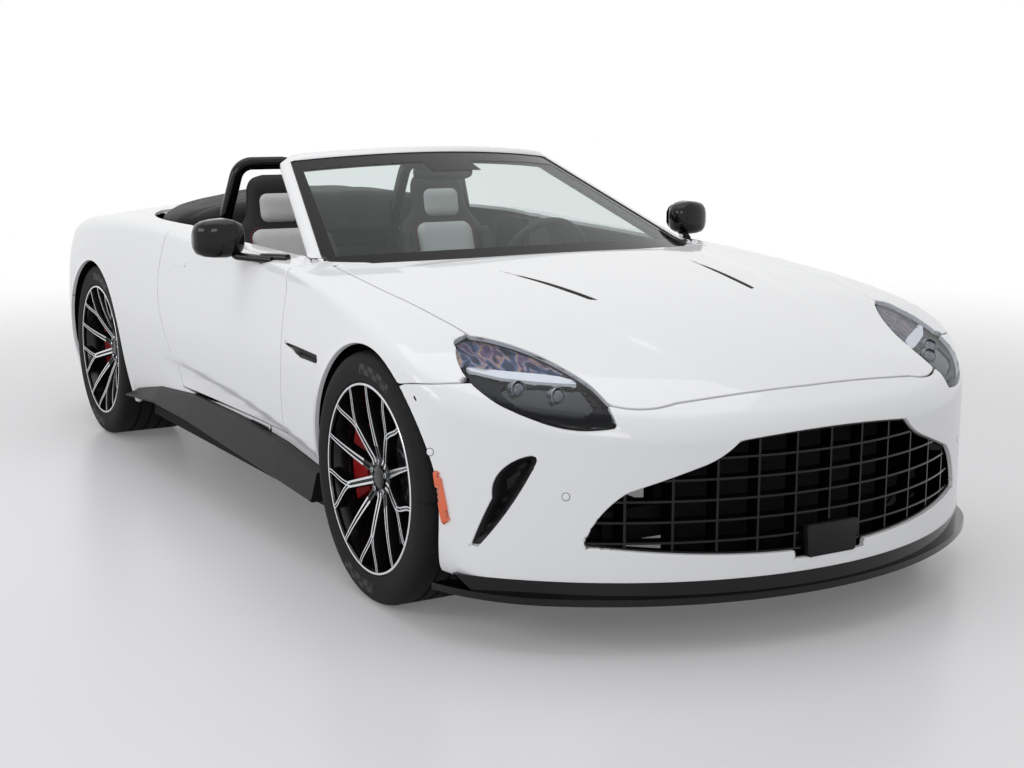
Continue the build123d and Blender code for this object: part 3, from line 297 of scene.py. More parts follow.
BOOT_PLAN = mirrored([
    (RA - 330, 0), (RA - 350, 380, "arc"), (RA - 405, 560), (RA - 560, 640, "arc"), (RA - 720, 600),
    (RA - 800, 330, "arc"), (RA - 812, 0)])
REAR_BUMPER_SIDE = [(RA - 300, 0), (RA - 300, 560), (RA - 560, 600), (RA - 800, 655), (-2600, 655),
                    (-2600, 0)]
CABIN_PLAN = mirrored([
    (FA - 500, 0), (FA - 540, 420, "arc"), (FA - 760, 722), (FA - 1230, 762, "arc"), (RA + 700, 764),
    (RA + 200, 752, "arc"), (RA - 60, 640), (RA - 138, 330, "arc"), (RA - 150, 0)])
GRILLE_FRONT = [(-288, 556), (0, 573, "arc"), (288, 556), (330, 521, "arc"), (390, 492), (560, 430),
                (620, 370, "arc"), (652, 305), (656, 290, "arc"), (640, 283), (0, 246, "arc"), (-640, 283),
                (-656, 290, "arc"), (-652, 305), (-620, 370, "arc"), (-560, 430), (-390, 492),
                (-330, 521, "arc")]
PLATE_FRONT = [(-122, 226), (-100, 312), (100, 312), (122, 226)]     # pocket round the sensor panel
CURTAIN_FRONT = [(754, 505), (758, 518, "arc"), (772, 519), (818, 484, "arc"), (838, 405),
                 (860, 337, "arc"), (877, 274), (867, 268), (801, 392, "arc")]
STRAKE_SIDE = [(FA - 694, 664), (FA - 370, 664), (FA - 358, 640), (FA - 520, 636)]
VENT_PLAN = [(FA + 153, 281), (FA - 20, 305, "arc"), (FA - 292, 366), (FA - 60, 334, "arc"), (FA + 137, 305)]
SILL_LINE = [(FA - 380, 290), (FA - 398, 300), (FA - 700, 330), (FA - 1130, 346), (FA - 1545, 350),
             (FA - 1930, 322), (RA + 446, 262), (RA + 380, 240), (RA + 380, 0), (FA - 380, 0)]
MARKER_SIDE = [(FA + 372, 466), (FA + 389, 466), (FA + 415, 322), (FA + 394, 318)]
HANDLE_SIDE = [(RA + 884, 822), (RA + 890, 834, "arc"), (RA + 905, 836), (RA + 1022, 830),
               (RA + 1036, 817, "arc"), (RA + 1024, 806), (RA + 898, 812)]


# ------------------------------------------------------------------ meshes
def linear(hex_colour):
    """Linear colour from an sRGB hex value."""
    channels = [int(hex_colour[i:i + 2], 16) / 255 for i in (0, 2, 4)]
    return (*[c / 12.92 if c <= 0.04045 else ((c + 0.055) / 1.055) ** 2.4 for c in channels], 1.0)


def new_piece(name, points, faces, body, slot, materials, replaces=(), normals=None, slots=None, uv=None,
              sharp=35.0, bevel=0.0):
    """One object riding on a body, from points in millimetres in the frame's axes."""
    mesh = bpy.data.meshes.new(name)
    faces = faces.tolist() if isinstance(faces, np.ndarray) else [list(f) for f in faces]
    mesh.from_pydata((np.asarray(points, float) * MM).tolist(), [], faces)
    mesh.validate()
    if normals is None:
        shape = bmesh.new()
        shape.from_mesh(mesh)
        bmesh.ops.recalc_face_normals(shape, faces=shape.faces)
        shape.to_mesh(mesh)
        shape.free()
    for each in materials:
        mesh.materials.append(bpy.data.materials[each])
    if slots is not None:
        mesh.polygons.foreach_set("material_index", np.asarray(slots, np.int32))
    if uv is not None:
        layer = mesh.uv_layers.new(name="UVMap")
        corner = np.zeros(len(mesh.loops), np.int32)
        mesh.loops.foreach_get("vertex_index", corner)
        layer.data.foreach_set("uv", np.asarray(uv, np.float32)[corner].ravel())
    mesh.polygons.foreach_set("use_smooth", [True] * len(mesh.polygons))
    if normals is not None:
        mesh.normals_split_custom_set_from_vertices(normals.tolist())
    else:
        mesh.set_sharp_from_angle(angle=radians(sharp))
    piece = bpy.data.objects.new(name, mesh)
    bpy.context.scene.collection.objects.link(piece)
    if bevel:
        edge = piece.modifiers.new("edges", "BEVEL")
        edge.width, edge.segments, edge.limit_method, edge.angle_limit = bevel * MM, 2, "ANGLE", radians(38)
    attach(piece, body)
    if replaces:
        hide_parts(*replaces)
    return piece


def rings_mesh(rings, closed=False, caps=False):
    """Quads between rows of points; each row closes on itself, and closed joins the last row to the first."""
    rings = np.asarray(rings, float)
    rows, n = rings.shape[:2]
    index = np.arange(rows * n).reshape(rows, n)
    if closed:
        index = np.vstack([index, index[:1]])
    a, b = index[:-1], index[1:]
    quads = np.stack([a, b, np.roll(b, -1, 1), np.roll(a, -1, 1)], -1).reshape(-1, 4).tolist()
    if caps:
        quads += [index[0].tolist(), index[-1][::-1].tolist()]
    return rings.reshape(-1, 3), quads


def sheet_mesh(grid):
    """Quads over a grid of points that is open on all sides."""
    rows, n = grid.shape[:2]
    index = np.arange(rows * n).reshape(rows, n)
    quads = np.stack([index[:-1, :-1], index[1:, :-1], index[1:, 1:], index[:-1, 1:]], -1).reshape(-1, 4)
    return grid.reshape(-1, 3), quads.tolist()


def joined(*meshes):
    """Several (points, faces) as one."""
    points, faces, start = [], [], 0
    for part, part_faces in meshes:
        points.append(np.asarray(part, float))
        faces += [[i + start for i in face] for face in part_faces]
        start += len(part)
    return np.concatenate(points), faces


def flipped(mesh):
    """The same mesh on the car's other side."""
    points, faces = mesh
    return np.asarray(points) * (1, -1, 1), [list(face)[::-1] for face in faces]


def lathe(profile, steps=96):
    """Turned ring from (radius, height) points, its axis on +Z."""
    profile = np.asarray(profile, float)
    turn = np.linspace(0, 2 * pi, steps, endpoint=False)
    rings = np.stack([np.outer(profile[:, 0], np.cos(turn)), np.outer(profile[:, 0], np.sin(turn)),
                      np.repeat(profile[:, 1:2], steps, 1)], -1)
    return rings_mesh(rings)


def rounded_path(corners, radius, steps=8):
    """Points along straight runs whose corners are rounded by arcs."""
    corners = [np.array(c, float) for c in corners]
    path = [corners[0]]
    for a, b, c in zip(corners, corners[1:], corners[2:]):
        u, w = (a - b) / np.linalg.norm(a - b), (c - b) / np.linalg.norm(c - b)
        half = np.arccos(np.clip(u @ w, -1, 1)) / 2
        reach = radius / np.tan(half)
        centre = b + (u + w) / np.linalg.norm(u + w) * radius / np.sin(half)
        start, stop = b + u * reach - centre, b + w * reach - centre
        sweep = pi - 2 * half
        for k in range(steps + 1):
            t = k / steps
            path.append(centre + (np.sin((1 - t) * sweep) * start + np.sin(t * sweep) * stop) / np.sin(sweep))
    return np.array(path + [corners[-1]])


def swept(path, section, up=(0, 0, 1), caps=True, scale=None):
    """A section of (across, up) points carried along a path."""
    path, up = np.asarray(path, float), np.array(up, float)
    ahead = np.gradient(path, axis=0)
    ahead /= np.linalg.norm(ahead, axis=1, keepdims=True)
    side = np.cross(ahead, up)
    side /= np.linalg.norm(side, axis=1, keepdims=True)
    lift = np.cross(side, ahead)
    section = np.asarray(section, float)
    scale = np.ones(len(path)) if scale is None else np.asarray(scale, float)
    rings = (path[:, None] + scale[:, None, None] * (section[None, :, :1] * side[:, None]
                                                    + section[None, :, 1:] * lift[:, None]))
    return rings_mesh(rings[:, ::-1], caps=caps)


def round_section(width, height, steps=20, power=2.0):
    """Oval section; a power over 2 squares it off."""
    turn = np.linspace(0, 2 * pi, steps, endpoint=False)
    c, s = np.cos(turn), np.sin(turn)
    return np.stack([width / 2 * np.sign(c) * np.abs(c) ** (2 / power),
                     height / 2 * np.sign(s) * np.abs(s) ** (2 / power)], 1)


def pillow(outline, crown, edge, spacing=9.0, dimples=None):
    """Crowned closed pad over a 2-D outline: (u, v, height) points and faces."""
    poly = sample(outline)
    low, high = poly.min(0) - spacing, poly.max(0) + spacing
    us, vs = np.arange(low[0], high[0], spacing), np.arange(low[1], high[1], spacing)
    grid = np.stack(np.meshgrid(us, vs, indexing="ij") + [np.zeros((len(us), len(vs)))], -1)
    points, quads = sheet_mesh(grid)
    quads = np.array(quads)
    tris = np.concatenate([quads[:, [0, 1, 2]], quads[:, [0, 2, 3]]])
    for level in (0.0, edge * 0.08, edge * 0.3):
        values = outline_field(outline, points, PLAN) + level
        points, tris = clip(points, tris, values) if level == 0 else split(points, tris, values)[:2]
    inside = np.clip(-outline_field(outline, points, PLAN) / edge, 0, 1)
    height = crown * np.sqrt(np.maximum(1 - (1 - inside) ** 2, 0))
    if dimples is not None:
        height = height - dimples(points[:, 0], points[:, 1]) * inside
    border = boundary(tris)
    n = len(points)
    top = np.column_stack([points[:, :2], height])
    back = np.column_stack([points[:, :2], np.full(n, -2.0)])
    sides = np.concatenate([np.stack([border[:, 1], border[:, 0], border[:, 0] + n], 1),
                            np.stack([border[:, 1], border[:, 0] + n, border[:, 1] + n], 1)])
    return np.concatenate([top, back]), np.concatenate([tris, tris[:, ::-1] + n, sides])


def boundary(tris):
    """Directed edges that only one triangle has."""
    edges = np.concatenate([tris[:, [0, 1]], tris[:, [1, 2]], tris[:, [2, 0]]])
    key = np.sort(edges, 1)
    _, back, count = np.unique(key[:, 0].astype(np.int64) * (tris.max() + 1) + key[:, 1],
                               return_inverse=True, return_counts=True)
    return edges[count[back] == 1]


# ------------------------------------------------------------------ skin panels
def inside_of(outline, axes, grow=0.0):
    """Cutting field that keeps what lies within an outline; every field here is negative where it keeps."""
    return lambda p: outline_field(outline, p, axes) - grow


def outside_of(outline, axes, gap=0.0):
    """Cutting field that keeps what lies outside an outline, a gap away."""
    return lambda p: gap - outline_field(outline, p, axes)


def clear_of_wheel(x, z, radius):
    """Keeps what lies outside a round arch about a wheel."""
    return lambda p: radius - np.hypot(p[:, 0] - x, p[:, 2] - z)


def above(z):
    """Keeps what lies above a height."""
    return lambda p: z - p[:, 2]


def in_front(x):
    """Keeps what lies ahead of a station."""
    return lambda p: x - p[:, 0]


def clear_of_box(x1, half_y, z0, z1):
    """Outside a box that reaches rearwards from x1, across the middle of the car."""
    return lambda p: -np.maximum(np.maximum(p[:, 0] - x1, np.abs(p[:, 1]) - half_y),
                                 np.maximum(z0 - p[:, 2], p[:, 2] - z1))


def only_ahead(x, field):
    """A cut-out that counts only ahead of x."""
    return lambda p: np.where(p[:, 0] > x, field(p), -1e3)


def only_behind(x, field):
    """A cut-out that counts only behind x."""
    return lambda p: np.where(p[:, 0] < x, field(p), -1e3)


def skin_sheet(grid, fields, lift=0.0, edge=2.2, depth=SKIN, centre=False, inner=True, bowl=None):
    """A panel of the body where all fields are negative: its outer face with rounded edges, its rim turned
    in by depth and its inner face. lift moves the whole sheet out; bowl sinks it by distance from its rim."""
    def field(p):
        return np.max([each(p) for each in fields], axis=0)
    points, tris = grid
    near = field(points)[tris].min(1) < 0
    used, tris = np.unique(tris[near], return_inverse=True)
    points, tris = points[used], tris.reshape(-1, 3)
    points, tris = clip(points, tris, field(points))
    for level in (edge * 0.5, edge, *((12.0, 30.0) if bowl else ())):
        points, tris, _ = split(points, tris, field(points) + level)
    normals = gradient(points)
    points = points - normals * body_field(points)[:, None]
    normals = gradient(points)
    inset = -field(points)
    border = boundary(tris)
    if centre:
        middle = np.abs(points[:, 1]) < 0.05
        points[middle, 1], normals[middle, 1] = 0.0, 0.0
        border = border[~np.all(middle[border], axis=1)]
    inset[np.unique(border)] = 0.0
    rim = inset < edge * 1.02
    slope = np.stack([field(points[rim] + d) - field(points[rim] - d) for d in np.eye(3) * 0.4], 1)
    slope -= normals[rim] * np.sum(slope * normals[rim], 1, keepdims=True)
    away = np.zeros_like(points)
    away[rim] = slope / np.maximum(np.linalg.norm(slope, axis=1, keepdims=True), 1e-9)
    if bowl:
        points = points - normals * bowl(inset)[:, None]
        shaded = normals
    else:
        turn = np.clip(1 - inset / edge, 0, 1) * pi / 2
        shaded = normals * np.cos(turn)[:, None] + away * np.sin(turn)[:, None]
        points = points - normals * (edge * (1 - np.cos(turn)))[:, None]
    points = points + normals * lift
    parts = [(points, shaded, tris)]
    if depth:
        n = len(points)
        ring, place = np.unique(border, return_inverse=True)
        a, b = place.reshape(-1, 2).T + n
        m = len(ring)
        parts.append((points[ring], away[ring],
                      np.concatenate([np.stack([b, a, a + m], 1), np.stack([b, a + m, b + m], 1)])))
        parts.append((points[ring] - normals[ring] * depth, away[ring], np.zeros((0, 3), int)))
        if inner:
            parts.append((points - normals * depth, -normals, tris[:, ::-1] + n + 2 * m))
    points, shaded, tris = (np.concatenate(each) for each in zip(*parts))
    if centre:
        tris = np.concatenate([tris, tris[:, ::-1] + len(points)])
        points = np.concatenate([points, points * (1, -1, 1)])
        shaded = np.concatenate([shaded, shaded * (1, -1, 1)])
    return points, shaded, tris


# ------------------------------------------------------------------ materials
def add(tree, kind, settings=None, **links):
    """Adds one node: settings are its properties or socket values, links the sockets that feed it."""
    made = tree.nodes.new("ShaderNode" + kind)
    for key, value in (settings or {}).items():
        if hasattr(made, key):
            setattr(made, key, value)
        else:
            made.inputs[key].default_value = value
    for key, source in links.items():
        tree.links.new(source, made.inputs[key.replace("_", " ")])
    return made


def per_metre(size):
    """Pattern scale for a real size in millimetres."""
    return 1000.0 / size


def principled(name, colour, roughness, **sockets):
    """A new material with its shader's sockets set, and its tree and shader."""
    made = bpy.data.materials.new(name)
    made.use_nodes = True
    shader = made.node_tree.nodes["Principled BSDF"]
    shader.inputs["Base Color"].default_value = linear(colour)
    shader.inputs["Roughness"].default_value = roughness
    for key, value in sockets.items():
        shader.inputs[key.replace("_", " ")].default_value = value
    return made.node_tree, shader


def grain(tree, shader, size, depth, kind="Noise", **settings):
    """Fine relief of a real grain size and depth in millimetres, from the piece's own place."""
    place = add(tree, "TexCoord")
    pattern = add(tree, "Tex" + kind, {"Scale": per_metre(size), **settings}, Vector=place.outputs["Object"])
    height = pattern.outputs["Distance" if kind == "Voronoi" else "Fac"]
    bump = add(tree, "Bump", {"Distance": depth * MM}, Height=height)
    tree.links.new(bump.outputs["Normal"], shader.inputs["Normal"])
    return place, pattern


def mottle(tree, shader, place, size, dark, light):
    """Slow change between two close colours, over patches of a size in millimetres."""
    cloud = add(tree, "TexNoise", {"Scale": per_metre(size), "Detail": 3.0}, Vector=place.outputs["Object"])
    blend = add(tree, "Mix", {"data_type": "RGBA"}, Factor=cloud.outputs["Fac"])
    blend.inputs[6].default_value = linear(dark)
    blend.inputs[7].default_value = linear(light)
    tree.links.new(blend.outputs[2], shader.inputs["Base Color"])


def coated_white_paint(colour):
    """Solid white under clear lacquer: a milky body, a sharp second reflection and slight orange peel."""
    tree, shader = principled("coated_white_paint", colour, 0.42, Coat_Weight=0.7, Coat_Roughness=0.03,
                              Specular_IOR_Level=0.3)
    grain(tree, shader, 6.0, 0.012, Detail=1.0)


def gloss_black_plastic(colour):
    """Moulded ABS, polished black: deep, with sharp reflections."""
    tree, shader = principled("gloss_black_plastic", colour, 0.12, Coat_Weight=0.2, Coat_Roughness=0.03,
                              Specular_IOR_Level=0.22)
    grain(tree, shader, 9.0, 0.01)


def satin_black_plastic(colour):
    """Moulded polypropylene with a fine spark grain, which spreads its highlights."""
    tree, shader = principled("satin_black_plastic", colour, 0.46, Specular_IOR_Level=0.22)
    place, _ = grain(tree, shader, 1.6, 0.05, Detail=2.0)
    mottle(tree, shader, place, 60, "0E0F10", "161719")


def machined_aluminium():
    """Diamond-turned wheel faces: bright, with turning lines drawn coarser than real so that they show."""
    tree, shader = principled("machined_aluminium", "E2E4E6", 0.24, Metallic=1.0)
    grain(tree, shader, 1.5, 0.02, Detail=4.0)


def black_alloy_paint():
    """Powder-coated wheel flanks: black, softly glossy."""
    tree, shader = principled("black_alloy_paint", "0A0A0B", 0.22, Coat_Weight=0.2, Coat_Roughness=0.08,
                              Specular_IOR_Level=0.3)
    grain(tree, shader, 3.0, 0.01)


def tyre_rubber():
    """Vulcanised rubber, matt and a little dusty; fine radial ribs run round the sidewall."""
    tree, shader = principled("tyre_rubber", "17181A", 0.72, Specular_IOR_Level=0.2)
    place = add(tree, "TexCoord")
    turn = add(tree, "SeparateXYZ", Vector=place.outputs["UV"])
    count = add(tree, "Math", {"operation": "MULTIPLY"}, Value=turn.outputs["X"])
    count.inputs[1].default_value = 2 * pi * 5
    ribs = add(tree, "Math", {"operation": "SINE"}, Value=count.outputs[0])
    bump = add(tree, "Bump", {"Distance": 0.2 * MM}, Height=ribs.outputs[0])
    tree.links.new(bump.outputs["Normal"], shader.inputs["Normal"])
    mottle(tree, shader, place, 40, "0D0E0F", "151617")


def checker_rubber():
    """The tyre's raised chequered patch: polished squares beside matt ones, the polish shown as painted sheen
    by lighter colour.
    """
    tree, shader = principled("checker_rubber", "17181A", 0.6, Specular_IOR_Level=0.25)
    place = add(tree, "TexCoord")
    cells = add(tree, "TexChecker", {"Scale": 1.0}, Vector=place.outputs["UV"])
    # painted sheen: the lighter squares stand in for light off the polished ones; both share one roughness
    cells.inputs["Color1"].default_value = linear("0A0A0B")
    cells.inputs["Color2"].default_value = linear("35363A")
    tree.links.new(cells.outputs["Color"], shader.inputs["Base Color"])
    bump = add(tree, "Bump", {"Distance": 0.5 * MM}, Height=cells.outputs["Fac"])
    tree.links.new(bump.outputs["Normal"], shader.inputs["Normal"])


def ground_iron():
    """Cast iron brake face, ground by the pads: grey and faintly streaked."""
    tree, shader = principled("ground_iron", "5A5B5E", 0.36, Metallic=0.9)
    grain(tree, shader, 4.0, 0.06, Detail=5.0)


def red_caliper_enamel(colour):
    """Baked enamel on a cast caliper: saturated, with the casting's slight waviness."""
    tree, shader = principled("red_caliper_enamel", colour, 0.3, Coat_Weight=0.8, Coat_Roughness=0.06)
    grain(tree, shader, 5.0, 0.08)


def cast_aluminium():
    """Sand-cast suspension metal: pale grey and rough."""
    tree, shader = principled("cast_aluminium", "8A8C8E", 0.48, Metallic=0.85)
    place, _ = grain(tree, shader, 2.5, 0.15, Detail=4.0)
    mottle(tree, shader, place, 35, "77797B", "979A9C")


def dipped_steel():
    """Electro-coated structure: black and dull."""
    tree, shader = principled("dipped_steel", "111214", 0.6, Specular_IOR_Level=0.2)
    place, _ = grain(tree, shader, 8.0, 0.05)
    mottle(tree, shader, place, 80, "0D0E0F", "17181A")


def felt_liner():
    """Pressed felt in the wheel arches: it takes nearly all the light."""
    tree, shader = principled("felt_liner", "060607", 0.95, Specular_IOR_Level=0.1)
    grain(tree, shader, 2.0, 0.4, Detail=6.0)


def polished_steel():
    """Polished stainless tube, with the faint haze of use."""
    tree, shader = principled("polished_steel", "C9C8C5", 0.16, Metallic=1.0)
    grain(tree, shader, 12.0, 0.02)


def radiator_fins():
    """Stacked aluminium fins, painted black; drawn at 4 mm so that the stack shows."""
    tree, shader = principled("radiator_fins", "1C1D1F", 0.5, Metallic=0.6)
    grain(tree, shader, 12.0, 1.2, kind="Wave", bands_direction="Z")


def grained_leather(name, dark, light, gloss=0.5):
    """Full-grain leather: pores about a millimetre apart and a soft sheen."""
    tree, shader = principled(name, dark, gloss, Specular_IOR_Level=0.25)
    place, _ = grain(tree, shader, 1.8, 0.14, kind="Voronoi")
    mottle(tree, shader, place, 50, dark, light)


def hood_cloth():
    """Woven acrylic hood cloth: matt black twill, its threads drawn 2 mm wide so that they show."""
    tree, shader = principled("hood_cloth", "0D0E10", 0.92, Sheen_Weight=0.25, Sheen_Roughness=0.5)
    place, _ = grain(tree, shader, 4.0, 0.3, kind="Wave", bands_direction="DIAGONAL")
    mottle(tree, shader, place, 90, "0A0B0C", "15161A")


def tufted_carpet():
    """Cut-pile carpet: black, with tufts 2 mm across."""
    tree, shader = principled("tufted_carpet", "0E0E10", 1.0)
    grain(tree, shader, 2.0, 0.8, Detail=5.0)


def clear_sheet(name, tint, gloss):
    """Clear glass or polycarbonate sheet: what lies behind shows through, and the sky reflects at a slant."""
    made = bpy.data.materials.new(name)
    made.use_nodes = True
    tree = made.node_tree
    tree.nodes.clear()
    clear = add(tree, "BsdfTransparent", {"Color": linear(tint)})
    shine = add(tree, "BsdfGlossy", {"Roughness": gloss})
    tilt = add(tree, "LayerWeight", {"Blend": 0.5})
    steep = add(tree, "Math", {"operation": "POWER"}, Value=tilt.outputs["Facing"])
    steep.inputs[1].default_value = 4.0
    share = add(tree, "MapRange", {"To Min": 0.015, "To Max": 0.4}, Value=steep.outputs[0])
    both = add(tree, "MixShader", None, Fac=share.outputs["Result"])
    tree.links.new(clear.outputs[0], both.inputs[1])
    tree.links.new(shine.outputs[0], both.inputs[2])
    out = add(tree, "OutputMaterial")
    tree.links.new(both.outputs[0], out.inputs["Surface"])


def black_enamel_band():
    """Ceramic frit fired on to the glass edge: black, as glossy as the glass."""
    tree, shader = principled("black_enamel_band", "030304", 0.08, Specular_IOR_Level=0.12)
    grain(tree, shader, 30.0, 0.01)


def lens_plastic(name, colour, gloss=0.1):
    """Coloured polycarbonate lens with a prismatic back."""
    tree, shader = principled(name, colour, gloss, Coat_Weight=1.0, Coat_Roughness=0.04)
    grain(tree, shader, 5.0, 0.35, kind="Voronoi")


def smoked_reflector():
    """Vapour-coated lamp housing whose thin film breaks white light into blues, violets and golds."""
    tree, shader = principled("smoked_reflector", "3A3F4A", 0.28, Metallic=0.9)
    place = add(tree, "TexCoord")
    stretch = add(tree, "Mapping", {"Scale": (9, 26, 14), "Rotation": (0, 0, radians(35))},
                  Vector=place.outputs["Object"])
    waves = add(tree, "TexNoise", {"Scale": 1.0, "Detail": 2.0, "Distortion": 1.2},
                Vector=stretch.outputs["Vector"])
    ramp = add(tree, "ValToRGB", None, Fac=waves.outputs["Fac"])
    stops = ((0.30, "0E1118"), (0.44, "26304A"), (0.51, "5A6684"), (0.55, "9A7C62"), (0.60, "5A4A6A"),
             (0.72, "12161F"))
    band = ramp.color_ramp
    band.elements[0].position, band.elements[0].color = stops[0][0], linear(stops[0][1])
    band.elements[1].position, band.elements[1].color = stops[-1][0], linear(stops[-1][1])
    for at, colour in stops[1:-1]:
        band.elements.new(at).color = linear(colour)
    tree.links.new(ramp.outputs["Color"], shader.inputs["Base Color"])
    bump = add(tree, "Bump", {"Distance": 1.0 * MM}, Height=waves.outputs["Fac"])
    tree.links.new(bump.outputs["Normal"], shader.inputs["Normal"])


def silvered(name, colour, roughness):
    """Vapour-deposited mirror coating."""
    tree, shader = principled(name, colour, roughness, Metallic=1.0)
    grain(tree, shader, 40.0, 0.005)


def light_guide():
    """Milk-white acrylic light guide, unlit, with a faint painted glow."""
    tree, shader = principled("light_guide", "F2F4F8", 0.25, Coat_Weight=0.6)
    # painted glow: a faint white emission makes the unlit guide look lit
    shader.inputs["Emission Color"].default_value = linear("FFFFFF")
    shader.inputs["Emission Strength"].default_value = 0.12
    grain(tree, shader, 4.0, 0.05, kind="Wave", bands_direction="Y")


def waxed_thread(colour):
    """Twisted polyester thread: its lay is drawn at 2 mm."""
    tree, shader = principled("waxed_thread", colour, 0.6)
    grain(tree, shader, 2.0, 0.2, kind="Wave", bands_direction="DIAGONAL")


def make_materials(look):
    """Every finish, with the colours of the panel."""
    coated_white_paint(hex_of(look.paint))
    gloss_black_plastic("060607")
    satin_black_plastic("1C1D1F")
    machined_aluminium()
    black_alloy_paint()
    tyre_rubber()
    checker_rubber()
    ground_iron()
    red_caliper_enamel(hex_of(look.caliper))
    cast_aluminium()
    dipped_steel()
    felt_liner()
    polished_steel()
    radiator_fins()
    grained_leather("black_leather", "121214", "1B1B1E")
    grained_leather("grey_leather", hex_of(look.seat_centre), "C6C6C7", 0.55)
    hood_cloth()
    tufted_carpet()
    clear_sheet("screen_glass", "ECF1F0", 0.0)
    clear_sheet("lamp_cover", "E4E7EC", 0.0)
    black_enamel_band()
    lens_plastic("amber_lens", "E2602A")
    lens_plastic("red_lens", "8E0A14")
    lens_plastic("projector_lens", "63676E", 0.03)
    smoked_reflector()
    silvered("silvered_glass", "D4D8DC", 0.03)
    silvered("silvered_bezel", "85888E", 0.16)
    silvered("satin_chrome", "A9ACB0", 0.25)
    silvered("dark_reflector", "101114", 0.30)
    light_guide()
    waxed_thread(hex_of(look.thread))
    studio_floor_paint()


def hex_of(colour):
    """sRGB hex of a colour property, which Blender keeps linear."""
    srgb = [12.92 * c if c <= 0.0031308 else 1.055 * c ** (1 / 2.4) - 0.055 for c in colour[:3]]
    return "".join(f"{round(255 * c):02X}" for c in srgb)


# ------------------------------------------------------------------ finishes of the frame's own pieces
CARRIED = {
    "engine_block": "cast_aluminium", "radiator": "radiator_fins", "grille": "gloss_black_plastic",
    "front_splitter": "gloss_black_plastic", "side_sills": "satin_black_plastic",
    "sensor_panel": "satin_black_plastic", "rear_diffuser": "gloss_black_plastic",
    "arch_liners": "felt_liner", "exhausts": "polished_steel",
    "centre_tunnel": "tufted_carpet", "bulkhead": "tufted_carpet", "floor_pan": "tufted_carpet",
    "front_arms": "cast_aluminium", "rear_axle": "cast_aluminium", "calipers_rear": "red_caliper_enamel",
    "dashboard": "black_leather", "centre_console": "satin_black_plastic",
    "steering_column": "satin_black_plastic",
    **{f"knuckle_front_{side}": "cast_aluminium" for side in ("left", "right")},
    **{f"caliper_front_{side}": "red_caliper_enamel" for side in ("left", "right")},
}


def finish_frame():
    """Gives every node that stays in view its real finish."""
    for name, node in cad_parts.items():
        material = bpy.data.materials[CARRIED.get(name, "dipped_steel")]
        if not node.material_slots:
            node.data.materials.append(material)
        for held in node.material_slots:
            held.material = material


# ------------------------------------------------------------------ body panels
SIDES = (("left", 1), ("right", -1))


def on_side(sign, points, faces, shaded=None):
    """Points, faces and normals of a left-hand sheet, or of its mirror image."""
    points = np.asarray(points) * (1, sign, 1)
    if sign < 0:
        faces = faces[:, ::-1] if isinstance(faces, np.ndarray) else [list(face)[::-1] for face in faces]
    return points, faces, None if shaded is None else shaded * (1, sign, 1)


def panel(name, grid, fields, body, node, **how):
    """A painted panel across the middle of the car."""
    points, shaded, tris = skin_sheet(grid, fields, centre=True, **how)
    new_piece(name, points, tris, body, "white_paint", ["coated_white_paint"], [node] if node else (), shaded)


def side_panels(name, grid, fields, body, node, slot="white_paint", material="coated_white_paint", **how):
    """A sheet on each side of the car; body and node take the side's name in place of a star."""
    sheet = skin_sheet(grid, fields, **how)
    for side, sign in SIDES:
        points, tris, shaded = on_side(sign, *(sheet[i] for i in (0, 2, 1)))
        new_piece(f"{name}_{side}", points, tris, body.replace("*", side), slot, [material],
                  [node.replace("*", side)] if node else (), shaded)


def off_middle(y):
    """Keeps what lies further left than y."""
    return lambda p: y - p[:, 1]


def behind(x):
    """Keeps what lies behind a station."""
    return lambda p: p[:, 0] - x


def clear_of_pipe(y, z, radius):
    """Leaves room for an exhaust pipe in the tail."""
    return only_behind(0, lambda p: radius - np.hypot(p[:, 1] - y, p[:, 2] - z))


def not_in(*fields):
    """Outside the place that several fields share."""
    return lambda p: -np.max([each(p) for each in fields], axis=0)


FRONT_EDGE = clear_of_wheel(FA, FRONT_R, FRONT_ARCH)
REAR_EDGE = clear_of_wheel(RA, REAR_R, REAR_ARCH)
BELOW_SILL = outside_of(SILL_LINE, SIDE)
OPEN_CABIN = outside_of(CABIN_PLAN, PLAN)
LAMP_HOLE = not_in(inside_of(LAMP_PLAN, PLAN, 0.8), in_front(0))
LAMP_STRIP = not_in(behind(RA - 780), lambda p: p[:, 1] - 760, lambda p: np.abs(p[:, 2] - 771) - 29)
PIPES = ((262, 386, 53), (372, 386, 53))
DIFFUSER_HOLE = clear_of_box(-1200, 520, 0, 330)


